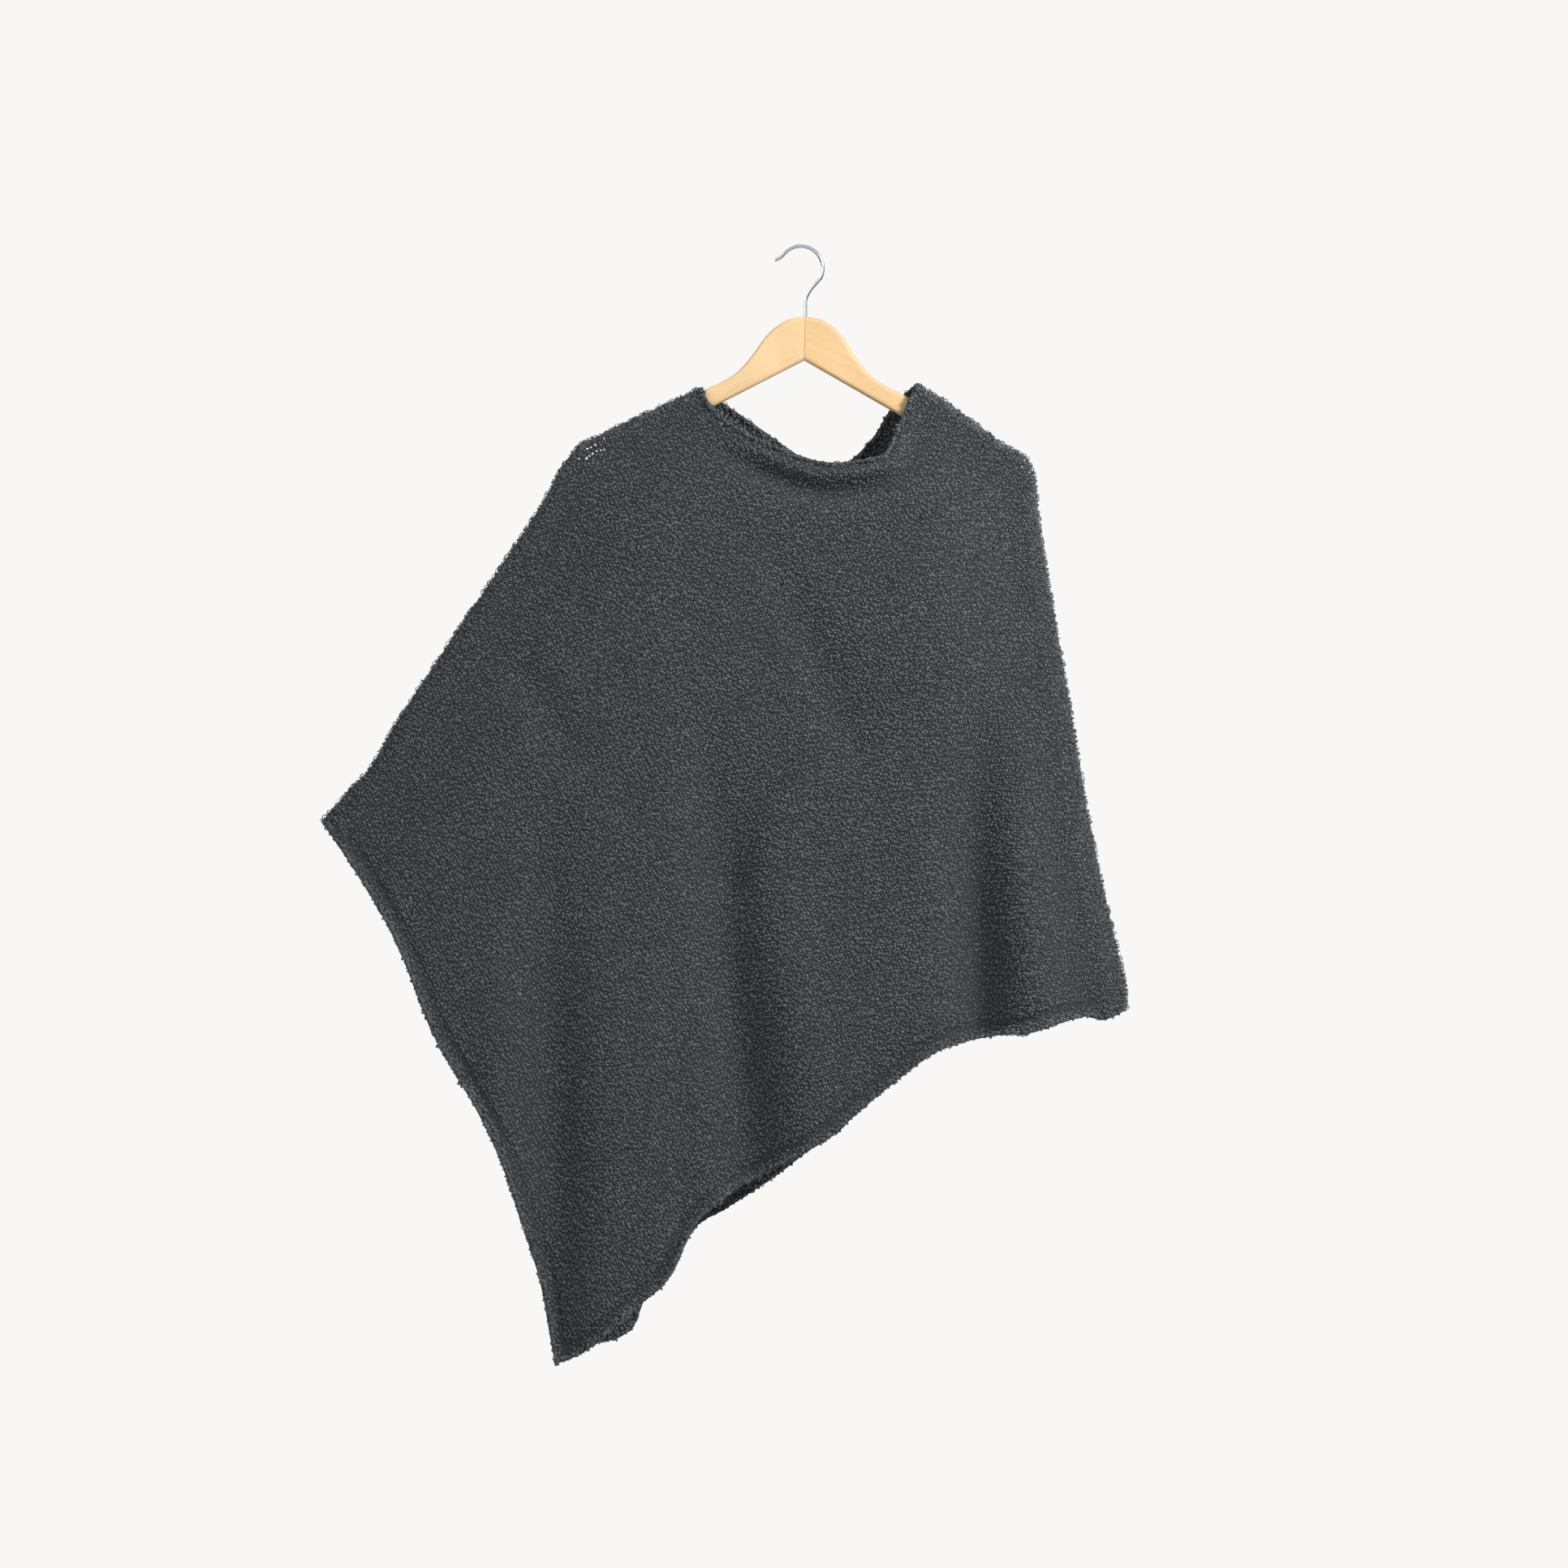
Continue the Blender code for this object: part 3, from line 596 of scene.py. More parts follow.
def course_run():
    """x in steps, and how far a course has risen there for a lean of 1."""
    x = np.linspace(RASTER_START[0] - 60.0, 420.0, 300)
    turn = smoothstep((x - RUN_LEFT) / (RUN_RIGHT - RUN_LEFT))
    slope = RUN_SHARE[0] + (RUN_SHARE[1] - RUN_SHARE[0]) * turn
    rise = np.concatenate(([0.0], np.cumsum(0.5 * (slope[1:] + slope[:-1]) * np.diff(x))))
    return x, slope, rise - np.interp(0.0, x, rise)


def course_direction(points):
    """Unit vectors (x, z) along the knitted courses."""
    x, slope, _ = course_run()
    rise = np.interp(points[:, 0], x, slope) * lean(points[:, 1])
    return unit(np.stack((np.ones(len(points)), rise), -1))


def course_points(course, stitch, rng):
    """Points (x, z) in rows along the courses, jittered, and each point's row number.

    A row has z - lean(z) * run(x) the same all along it. Lean is linear in z, so z comes from x
    directly. x is spaced so that the points lie one stitch apart along the slanting row.
    """
    x, slope, rise = course_run()
    middle = 0.5 * (LEAN_TOP + LEAN_BOTTOM)
    length = np.concatenate(([0.0], np.cumsum(np.diff(x) * np.hypot(1.0, middle * slope[1:]))))
    column = np.arange(0.0, length[-1], stitch)
    row = np.arange(-1500.0, 200.0, course)
    rows, columns = (a.ravel() for a in np.meshgrid(np.arange(len(row)), column, indexing="ij"))
    shift = (rows % 2) * 0.5 * stitch + rng.normal(0.0, 0.16 * stitch, len(rows))
    at_x = np.interp(columns + shift, length, x)
    run = np.interp(at_x, x, rise)
    lean_rate = (LEAN_BOTTOM - LEAN_TOP) / (LEAN_HEIGHTS[1] - LEAN_HEIGHTS[0])
    lean_start = LEAN_TOP - lean_rate * LEAN_HEIGHTS[0]
    at_z = (row[rows] + lean_start * run) / (1.0 - lean_rate * run)
    at_z = at_z + rng.normal(0.0, 0.27 * course, len(rows))
    return np.stack((at_x, at_z), -1), rows


def new_piece(name, points, faces, uv, finish, attributes=None):
    """A mesh object at the origin, from points in millimetres, faces and a map for each corner."""
    mesh = bpy.data.meshes.new(name)
    points = np.asarray(points, np.float32) * MM
    faces = np.asarray(faces, np.int32)
    corners = faces.shape[1]
    mesh.vertices.add(len(points))
    mesh.vertices.foreach_set("co", points.ravel())
    mesh.loops.add(faces.size)
    mesh.loops.foreach_set("vertex_index", faces.ravel())
    mesh.polygons.add(len(faces))
    mesh.polygons.foreach_set("loop_start", np.arange(0, faces.size, corners, dtype=np.int32))
    mesh.update(calc_edges=True)
    layer = mesh.uv_layers.new(name=BAKE_MAP)
    layer.uv.foreach_set("vector", np.asarray(uv, np.float32).ravel())
    for key, values in (attributes or {}).items():
        mesh.attributes.new(key, "FLOAT", "POINT").data.foreach_set(
            "value", np.asarray(values, np.float32)
        )
    mesh.shade_smooth()
    if mesh.validate():
        raise RuntimeError(f"the mesh of {name} isn't sound")
    piece = bpy.data.objects.new(name, mesh)
    bpy.context.scene.collection.objects.link(piece)
    mesh.materials.append(finish)
    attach(piece, "root")
    return piece


# A nub: four corners round its foot, which lies in the cloth, and its crown
NUB = np.array(((1, 0, -0.5), (0, 1, -0.5), (-1, 0, -0.5), (0, -1, -0.5), (0, 0, 1)), float)
NUB_FACES = np.array(((0, 1, 4), (1, 2, 4), (2, 3, 4), (3, 0, 4), (2, 1, 0), (3, 2, 0)))


def cell_map(count, inner, width=0.44):
    """A map that gives each of many like shapes its own square of the unit square."""
    side = math.ceil(math.sqrt(count))
    order = np.arange(count)
    middle = np.stack((order % side + 0.5, order // side + 0.5), -1)
    return (middle[:, None, :] + width * inner[None]) / side


def nubs(name, place, normal, course, size, tone, tint, finish, rng):
    """Many small closed yarn nubs joined in one mesh.

    Each is a low pyramid stretched to three sizes: along the course, across it and outwards.
    It is turned in the cloth's plane, tilted a little, and each corner is pushed in or out.
    """
    count, corners = len(place), len(NUB)
    normal = unit(normal + rng.normal(0.0, 0.16, (count, 3)))
    course = unit(course - (course * normal).sum(-1, keepdims=True) * normal)
    across = np.cross(normal, course)
    turn = rng.normal(0.0, 0.6, (count, 1))
    first = np.cos(turn) * course + np.sin(turn) * across
    axes = np.stack((first, np.cross(normal, first), normal), 1)
    local = NUB * size[:, None, :] * rng.normal(1.0, 0.16, (count, corners, 1))
    points = place[:, None, :] + local @ axes
    faces = NUB_FACES + corners * np.arange(count)[:, None, None]
    uv = cell_map(count, NUB[:, :2])[:, NUB_FACES]
    values = {"tone": np.repeat(tone, corners), "tint": np.repeat(tint, corners)}
    return new_piece(name, points.reshape(-1, 3), faces.reshape(-1, 3), uv, finish, values)


def tubes(name, centres, across, thickness, tone, tint, finish):
    """Many thin closed three-sided tubes joined in one mesh.

    centres holds each tube's centre line as a row of points. The section's corners lie at equal
    angles in the plane of the given vector and of the line's own side, and taper at both ends.
    """
    count, steps = centres.shape[:2]
    line = unit(np.gradient(centres, axis=1))
    side = unit(np.cross(line, across[:, None, :]))
    other = np.cross(line, side)
    angle = np.arange(3) * 2.0 * math.pi / 3.0
    taper = np.ones(steps)
    taper[[0, -1]] = 0.35
    ring = np.cos(angle)[:, None] * side[:, :, None, :]
    ring = ring + np.sin(angle)[:, None] * other[:, :, None, :]
    points = centres[:, :, None, :] + thickness[:, None, None, None] * taper[:, None, None] * ring
    index = np.arange(steps * 3).reshape(steps, 3)
    after = np.roll(index, -1, axis=1)
    a, b, c, d = index[:-1], after[:-1], after[1:], index[1:]
    walls = np.concatenate((np.stack((a, b, c), -1), np.stack((a, c, d), -1)), 1).reshape(-1, 3)
    shape = np.vstack((walls, index[:1, ::-1], index[-1:]))
    faces = shape + steps * 3 * np.arange(count)[:, None, None]
    spot = np.stack(np.meshgrid(np.linspace(-1, 1, steps), (-1.0, 0.0, 1.0), indexing="ij"), -1)
    uv = cell_map(count, spot.reshape(-1, 2))[:, shape]
    values = {"tone": np.repeat(tone, steps * 3), "tint": np.repeat(tint, steps * 3)}
    return new_piece(name, points.reshape(-1, 3), faces.reshape(-1, 3), uv, finish, values)


def swept(name, line, half_sizes, y_middle, finish, sides=24):
    """A closed bar: an ellipse swept along a line (x, z), with one point at each end.

    The ellipse's two half sizes lie in the line's plane and along y. They shrink to nothing over
    the first and the last step as a quarter circle does.
    """
    cap = np.sin(np.radians(CAP_ANGLES))
    first = line[:1] + (line[1] - line[0]) * (1.0 - cap[::-1, None])
    last = line[-1:] + (line[-2] - line[-1]) * (1.0 - cap[:, None])
    centres = np.vstack((first, line[1:-1], last))
    shrink = np.concatenate((np.sqrt(1.0 - cap[::-1] ** 2), np.ones(len(line) - 2)))
    shrink = np.concatenate((shrink, np.sqrt(1.0 - cap**2)))
    tangent = unit(np.gradient(centres, axis=0))
    angle = np.linspace(0.0, 2.0 * math.pi, sides, endpoint=False)
    in_plane = half_sizes[0] * shrink[:, None] * np.cos(angle)
    x = centres[:, :1] - tangent[:, 1:] * in_plane
    z = centres[:, 1:] + tangent[:, :1] * in_plane
    y = y_middle + half_sizes[1] * shrink[:, None] * np.sin(angle)
    ends = np.array([(p[0], y_middle, p[1]) for p in (line[0], line[-1])])
    points = np.vstack((np.stack((x, y, z), -1).reshape(-1, 3), ends))
    rows = len(centres)
    row, column = np.meshgrid(np.arange(rows), np.arange(sides + 1), indexing="ij")
    index = row * sides + column % sides
    spot = np.stack(((row + 1.0) / (rows + 1.0), column / sides), -1)
    walls, maps = [], []
    for grid, found in ((index, walls), (spot, maps)):
        a, b, c, d = grid[:-1, :-1], grid[1:, :-1], grid[1:, 1:], grid[:-1, 1:]
        found.append(np.stack((a, b, c), 2).reshape(-1, 3, *grid.shape[2:]))
        found.append(np.stack((a, c, d), 2).reshape(-1, 3, *grid.shape[2:]))
    for pole, edge, edge_map, u in (
        (rows * sides, index[0], spot[0], 0.0),
        (rows * sides + 1, index[-1, ::-1], spot[-1, ::-1], 1.0),
    ):
        middle = np.full(sides, pole)
        walls.append(np.stack((middle, edge[:-1], edge[1:]), -1))
        middle = np.stack((np.full(sides, u), edge_map[:-1, 1]), -1)
        maps.append(np.stack((middle, edge_map[:-1], edge_map[1:]), 1))
    return new_piece(name, points, np.vstack(walls), np.vstack(maps), finish)


def make_hook(finish):
    """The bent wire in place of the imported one: a circle of wire, with its flared tip and its stem.

    The circle's points are its radius times the cosine and sine of equal steps. Smooth curves
    through the tip's and the neck's points carry it on at both ends.
    """
    angle = np.radians(np.linspace(*HOOK_ANGLES, HOOK_STEPS))
    circle = HOOK_RADIUS * np.stack((np.cos(angle), np.sin(angle)), -1)
    circle[:, 1] += WIRE_RADIUS - HOOK_RADIUS
    tip = smooth_path((circle[0], *HOOK_TIP), 3)[:0:-1]
    neck = smooth_path((circle[-1], *HOOK_NECK, STEM_END), 4)[1:]
    line = smooth_path(np.vstack((tip, circle, neck)), 3)
    hook = swept("wire_hook", line, (WIRE_RADIUS, WIRE_RADIUS), 0.0, finish)
    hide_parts("hook")


def make_glue(finish):
    """The thin glue line in the wood's joint, in front of the hook's stem and behind it.

    Each line runs straight down the joint, at equal steps of the drop from the crown.
    """
    drop = np.linspace(GLUE_TOP, NOTCH_DROP - GLUE_TOP, GLUE_STEPS)
    c, s = math.cos(WOOD_TILT), math.sin(WOOD_TILT)
    line = np.stack((WOOD_TOP[0] - s * drop, WOOD_TOP[1] - c * drop), -1)
    for name, side in (("glue_front", -1.0), ("glue_back", 1.0)):
        swept(name, line, GLUE_HALF, side * GLUE_MIDDLE, finish, sides=12)


def add_node(tree, kind, inputs=None, **settings):
    """A shader node; each input is given by its name or number, as a value or a socket to link."""
    made = tree.nodes.new(kind)
    for key, value in settings.items():
        setattr(made, key, value)
    for key, value in (inputs or {}).items():
        if isinstance(value, bpy.types.NodeSocket):
            tree.links.new(value, made.inputs[key])
        else:
            made.inputs[key].default_value = value
    return made


def blend_colours(tree, share, first, second, how="MIX"):
    """A Mix node's colour output: first where share is 0 and second where it is 1."""
    inputs = {0: share}
    for number, colour in ((6, first), (7, second)):
        is_socket = isinstance(colour, bpy.types.NodeSocket)
        inputs[number] = colour if is_socket else (*colour, 1.0)
    made = add_node(tree, "ShaderNodeMix", inputs, data_type="RGBA", blend_type=how)
    return made.outputs[2]


def stretch(tree, value, low, high, to_low=0.0, to_high=1.0):
    """A Map Range node's output, kept between its two ends."""
    inputs = {0: value, 1: low, 2: high, 3: to_low, 4: to_high}
    return add_node(tree, "ShaderNodeMapRange", inputs).outputs[0]


def noise(tree, where, scale, detail=2.0, rough=0.5):
    """A Noise Texture node's value."""
    inputs = {"Vector": where, "Scale": scale, "Detail": detail, "Roughness": rough}
    return add_node(tree, "ShaderNodeTexNoise", inputs).outputs[0]


def new_finish(name, roughness):
    """A material with a fresh tree: returns it, its tree and its Principled shader."""
    finish = bpy.data.materials.new(name)
    finish.use_nodes = True
    shader = finish.node_tree.nodes["Principled BSDF"]
    shader.inputs["Roughness"].default_value = roughness
    return finish, finish.node_tree, shader


@functools.lru_cache
def yarn_finish():
    """Matt boucle yarn: each nub has its own tone and tint, with fine fuzz in colour and bump."""
    knit = bpy.context.scene.poncho_knit
    finish, tree, shader = new_finish("boucle_yarn", 0.92)
    where = add_node(tree, "ShaderNodeTexCoord").outputs["Object"]
    tone = add_node(tree, "ShaderNodeAttribute", attribute_name="tone").outputs["Fac"]
    tint = add_node(tree, "ShaderNodeAttribute", attribute_name="tint").outputs["Fac"]
    fuzz = noise(tree, where, 560.0, 4.0, 0.8)
    patches = noise(tree, where, 13.0, 3.0, 0.6)
    lifted = add_node(
        tree, "ShaderNodeMath", {0: fuzz, 1: 3.4, 2: tone}, operation="MULTIPLY_ADD"
    ).outputs[0]
    uneven = add_node(
        tree, "ShaderNodeMath", {0: patches, 1: 0.4, 2: lifted}, operation="MULTIPLY_ADD"
    ).outputs[0]
    share = stretch(tree, uneven, 1.7, 3.2)
    colour = blend_colours(tree, share, tuple(knit.dark), tuple(knit.light))
    colour = blend_colours(tree, tint, colour, tuple(knit.warm))
    tree.links.new(colour, shader.inputs["Base Color"])
    bump = add_node(
        tree, "ShaderNodeBump", {"Strength": 0.8, "Distance": 0.6 * MM, "Height": fuzz}
    )
    tree.links.new(bump.outputs[0], shader.inputs["Normal"])
    shader.inputs["Sheen Weight"].default_value = 0.12
    shader.inputs["Sheen Roughness"].default_value = 0.6
    shader.inputs["Specular IOR Level"].default_value = 0.1
    return finish


def glint_finish():
    """Pale wood flecks, a little mottled and much paler than the hanger's wood, as painted light on
    the wood that shows between stretched stitches.
    """
    finish, tree, shader = new_finish("pale_wood_painted_light", 0.6)
    where = add_node(tree, "ShaderNodeTexCoord").outputs["Object"]
    mottled = stretch(tree, noise(tree, where, 800.0), 0.35, 0.65)
    # Painted light: these near-white colours stand in for lit wood seen between the stitches.
    colour = blend_colours(tree, mottled, (0.78, 0.74, 0.60), (0.97, 0.95, 0.86))
    tree.links.new(colour, shader.inputs["Base Color"])
    return finish


@functools.lru_cache
def ground_finish():
    """The cloth between and under the nubs, coloured darker than the darkest yarn as painted shade,
    with the ridges of its twisted plies.
    """
    knit = bpy.context.scene.poncho_knit
    finish, tree, shader = new_finish("knit_ground", 0.95)
    where = add_node(tree, "ShaderNodeTexCoord").outputs["Object"]
    plies = noise(tree, where, 480.0, 4.0, 0.7)
    # Painted shade: the ground runs from 0.7 to 1.5 times the darkest yarn, below the nubs' tones.
    dark = tuple(0.7 * c for c in knit.dark)
    pale = tuple(1.5 * c for c in knit.dark)
    share = stretch(tree, plies, 0.3, 0.75)
    colour = blend_colours(tree, share, dark, pale)
    tree.links.new(colour, shader.inputs["Base Color"])
    bump = add_node(
        tree, "ShaderNodeBump", {"Strength": 0.8, "Distance": 0.8 * MM, "Height": plies}
    )
    tree.links.new(bump.outputs[0], shader.inputs["Normal"])
    shader.inputs["Specular IOR Level"].default_value = 0.1
    return finish


def shell_columns(line, u, cell):
    """Shares u of one row's points: rings of a rounded edge at both ends, even steps between."""
    round_off = 1.0 - np.cos(np.radians(np.arange(0.0, 91.0, 15.0)))
    radius = level(line[[0, -1], 1], RADIUS)
    reached = np.concatenate(([0.0], np.cumsum(np.hypot(*np.diff(line, axis=0).T))))
    at_left = np.interp(radius[0] * round_off, reached, u)
    at_right = np.interp(reached[-1] - radius[1] * round_off, reached, u)[::-1]
    left_count = int(WIDEST_ROW * TIP_AT / cell)
    right_count = int(WIDEST_ROW * (1.0 - TIP_AT) / cell)
    middle = np.linspace(at_left[-1], TIP_AT, left_count + 1)[1:]
    other = np.linspace(TIP_AT, at_right[0], right_count + 1)[1:-1]
    return np.concatenate((at_left[:1], at_left, middle, other, at_right, at_right[-1:]))


def shell_grid(panel, cell):
    """The outer face as a grid of 3-D points from neck to hem, with normals and shares (u, v)."""
    u = np.linspace(0.0, 1.0, PATCH_STEPS)
    v = np.linspace(0.0, 1.0, int(LONGEST_COLUMN / cell))
    rows = [(shell_columns(line, u, cell), line) for line in panel.patch(u, v)]
    shares = np.array([across for across, _ in rows])
    flat = np.array([[np.interp(a, u, line[:, k]) for k in (0, 1)] for a, line in rows])
    flat = flat.transpose(0, 2, 1)
    place, normal = panel.surface(flat.reshape(-1, 2))
    place, normal = place.reshape(*shares.shape, 3), normal.reshape(*shares.shape, 3)
    place[:, [1, -2], 1] = panel.facing * SEAM_STRIP
    place[:, [0, -1], 1] = panel.facing * GAP / 2.0
    for edge, step in ((0, 1.0), (1, 1.0), (-1, -1.0), (-2, -1.0)):
        tangent = unit(np.gradient(place[:, edge], axis=0))
        outward = np.stack((tangent[:, 2], 0.0 * tangent[:, 2], -tangent[:, 0]), -1) * step
        normal[:, edge] = unit(outward)
    shares = np.stack((shares, np.broadcast_to(v[:, None], shares.shape)), -1)
    return place, normal, shares


def make_cloth(side):
    """One panel's thin shell: the outer face, the same face moved in, and a rim between the two."""
    knit = bpy.context.scene.poncho_knit
    panel = panel_of(side)
    place, normal, shares = shell_grid(panel, knit.grid / MM)
    rows, columns = place.shape[:2]
    outer = (place - normal * knit.inset / MM).reshape(-1, 3)
    inner = (place - normal * (knit.inset + knit.thickness) / MM).reshape(-1, 3)
    index = np.arange(rows * columns).reshape(rows, columns)
    quads = np.stack((index[:-1, :-1], index[1:, :-1], index[1:, 1:], index[:-1, 1:]), -1)
    quads = quads.reshape(-1, 4)
    rim = np.concatenate((index[:, 0], index[-1, 1:], index[-2::-1, -1], index[0, -2::-1]))
    count = rows * columns
    walls = np.stack((rim[1:], rim[:-1], rim[:-1] + count, rim[1:] + count), -1)
    faces = np.vstack((quads, quads[:, ::-1] + count, walls))
    if side == "back":
        faces = faces[:, ::-1]
    half = shares.reshape(-1, 2) * np.array((0.49, 0.98)) + 0.005
    corner_map = np.vstack((half, half + np.array((0.5, 0.0))))[faces]
    cloth = new_piece(
        f"{side}_cloth", np.vstack((outer, inner)), faces, corner_map, ground_finish()
    )
    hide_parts(f"{side}_panel")


def rim_points(panel, stitch, rng):
    """Places, normals and directions in rows round the closed edges, where the cloth turns away.

    A point at angle t lies radius * (1 - cos t) in from the edge, at sin t of the full depth.
    """
    found = []
    for path, hand in ((panel.left, 1.0), (panel.right, -1.0)):
        for angle in RIM_ANGLES:
            count = int(path_length(path) / stitch)
            t = np.radians(angle + rng.uniform(-RIM_JITTER, RIM_JITTER, count))
            share = (np.arange(count) + rng.uniform(0.0, 1.0, count)) / count
            base = along(path, share)
            tangent = unit(along(path, np.minimum(share + 0.002, 1.0)) - along(path, share - 0.002))
            inward = hand * np.stack((-tangent[:, 1], tangent[:, 0]), -1)
            keep = panel.holds(base + inward * 2.0)
            base, t, inward, tangent = base[keep], t[keep], inward[keep], tangent[keep]
            radius = level(base[:, 1], RADIUS)
            at = base + inward * (radius * (1.0 - np.cos(t)))[:, None]
            flat = panel.read(panel.raster, at) - SEAM_STRIP
            y = panel.facing * (SEAM_STRIP + flat * np.sin(t))
            out = -inward * (flat * np.cos(t))[:, None]
            normal = np.stack((out[:, 0], panel.facing * radius * np.sin(t), out[:, 1]), -1)
            place = np.stack((at[:, 0], y, at[:, 1]), -1)
            line = np.stack((tangent[:, 0], np.zeros(len(at)), tangent[:, 1]), -1)
            found.append(np.stack((place, unit(normal), line), 1))
    found = np.concatenate(found)
    return found[:, 0], found[:, 1], found[:, 2]


def stitch_gap(points):
    """Distance from each point (x, z) to the rim of the nearest stretched stitch."""
    stitches = np.array(OPEN_STITCHES)
    gap = np.linalg.norm(points[:, None, :] - stitches[:, :2], axis=-1) - stitches[:, 2]
    return gap.min(1)


def make_glints():
    """Pale flecks of the wood seen between stretched stitches: small nubs on the cloth's face, where
    they catch full light, coloured paler than the wood as painted light.
    """
    rng = np.random.default_rng(SEEDS["glints"])
    x, z, radius = np.array(OPEN_STITCHES).T
    place, normal = panel_of("front").surface(np.stack((x, z), -1))
    course = np.broadcast_to((0.9, 0.0, 0.4), place.shape)
    size = np.stack((1.8 * radius, 1.3 * radius, 0.0 * radius + 1.5), -1)
    flat = np.full(len(x), 0.5)
    sunk = place - 0.7 * normal
    nubs("wood_glints", sunk, normal, course, size, flat, flat, glint_finish(), rng)


def field_points(panel, knit, rng):
    """Places, normals, directions and row numbers of the nubs on the open face of a panel."""
    points, rows = course_points(knit.course / MM / 2.0, knit.stitch / MM, rng)
    low, high = panel.outline.min(0), panel.outline.max(0)
    near = ((points > low) & (points < high)).all(1)
    points, rows = points[near], rows[near]
    keep = panel.holds(points)
    points, rows = points[keep], rows[keep]
    closed = np.minimum(nearest(points, panel.left)[0], nearest(points, panel.right)[0])
    open_edge = np.minimum(nearest(points, panel.neck)[0], nearest(points, panel.hem)[0])
    keep = (closed > FIELD_START * level(points[:, 1], RADIUS)) & (open_edge > FIELD_MARGIN)
    points, rows, open_edge = points[keep], rows[keep], open_edge[keep]
    place, normal = panel.surface(points)
    course = course_direction(points)
    course = np.stack((course[:, 0], np.zeros(len(course)), course[:, 1]), -1)
    return place, normal, course, rows, open_edge


def edge_points(panel, spacing, rng):
    """Places, normals and directions of the beads that lie all round the neck's and the hem's edge.

    Each bead is at a random angle round the middle of the wall, a little inside the outline.
    """
    found = []
    for path, hand in ((panel.neck, 1.0), (panel.hem, -1.0)):
        count = EDGE_ROWS * int(path_length(path) / spacing)
        share = (np.arange(count) + rng.uniform(0.0, 1.0, count)) / count
        base = along(path, share)
        tangent = unit(along(path, share + 0.002) - along(path, share - 0.002))
        out = hand * np.stack((-tangent[:, 1], tangent[:, 0]), -1)
        place, normal = panel.surface(base - out * EDGE_INSET)
        out = np.stack((out[:, 0], np.zeros(count), out[:, 1]), -1)
        line = np.stack((tangent[:, 0], np.zeros(count), tangent[:, 1]), -1)
        angle = np.radians(rng.uniform(-EDGE_TURN, EDGE_TURN, (count, 1)))
        way = unit(np.cos(angle) * out + np.sin(angle) * normal)
        reach = rng.normal(EDGE_RADIUS, 0.8, (count, 1))
        found.append(np.stack((place - 1.5 * normal + reach * way, way, line), 1))
    found = np.concatenate(found)
    return found[:, 0], found[:, 1], found[:, 2]


def yarn_numbers(count, rows, rng):
    """Each nub's tone from 0, dark, to 1, light, and its tint, which is warm on a few. Nubs of odd
    rows, which sit a little lower, are 0.05 darker as painted shade.
    """
    tone = np.clip(rng.normal(0.5, 0.2, count) - 0.05 * (rows % 2), 0.0, 1.0)
    return tone, 0.7 * rng.random(count) ** 6


def make_yarn(side):
    """The yarn of one panel, in pieces of their own: nubs of its left and right half, nubs of its
    inner face, beads of its open edges, loops and fibres.
    """
    knit = bpy.context.scene.poncho_knit
    panel = panel_of(side)
    rng = np.random.default_rng(SEEDS[side])
    stitch, inset = knit.stitch / MM, knit.inset / MM
    nub = np.array(knit.nub) / MM
    place, normal, course, rows, open_edge = field_points(panel, knit, rng)
    rim = rim_points(panel, stitch, rng)
    outer = [np.vstack((a, b)) for a, b in zip((place, normal, course), rim)]
    parity = np.concatenate((rows, rng.integers(0, 2, len(rim[0]))))
    size = nub * (1.0 + rng.normal(0.0, SIZE_SPREAD, (len(parity), 3)))
    size *= np.where(parity % 2, 0.96, 1.03)[:, None]
    lift = 0.1 - inset - 0.2 * (parity % 2)
    if side == "front":
        stretched = bell(stitch_gap(outer[0][:, [0, 2]]), 0.0, 1.8)
        size *= 1.0 - 0.55 * stretched[:, None]
    centre = outer[0] + outer[1] * lift[:, None]
    tone, tint = yarn_numbers(len(parity), parity, rng)
    made = []
    middle = np.median(centre[:, 0])
    for half, chosen in (("left", centre[:, 0] < middle), ("right", centre[:, 0] >= middle)):
        pick = (a[chosen] for a in (centre, outer[1], outer[2], size, tone, tint))
        made.append(nubs(f"{side}_nubs_{half}", *pick, yarn_finish(), rng))

    below = nearest(place[:, ::2], panel.neck)[0]
    seen = np.minimum(below / SEEN_BELOW_NECK, open_edge / SEEN_ABOVE_HEM) < 1.0
    under_wood = WOOD_TOP[1] - NOTCH_DROP - UNDERSIDE_SLOPE * np.abs(place[:, 0] - WOOD_TOP[0])
    clear = np.abs(place[:, 1]) > CLEAR_OF_WOOD
    clear |= place[:, 2] < under_wood - CLEAR_BELOW_WOOD
    chosen = seen & clear
    back = place[chosen] - normal[chosen] * (inset + knit.thickness / MM - 0.1)
    size = nub * (1.0 + rng.normal(0.0, SIZE_SPREAD, (len(back), 3)))
    tone, tint = yarn_numbers(len(back), rows[chosen], rng)
    # Painted light: the inner nubs' tone is raised by 0.7, which lifts the shaded inside of the
    # cloth.
    made.append(
        nubs(
            f"{side}_inner_nubs_painted_light", back, -normal[chosen], course[chosen], size, tone + 0.7, tint,
            yarn_finish(), rng,
        )
    )

    bead = edge_points(panel, BEAD_SPACING, rng)
    size = nub * (1.0 + rng.normal(0.0, BEAD_SIZE_SPREAD, (len(bead[0]), 3)))
    tone, tint = yarn_numbers(len(size), rng.integers(0, 2, len(size)), rng)
    made.append(nubs(f"{side}_edge_nubs", *bead, size, tone, tint, yarn_finish(), rng))
    made.append(make_loops(panel, outer, rim, bead, rng))
    made.append(make_fibres(panel, outer, rng))
    return made


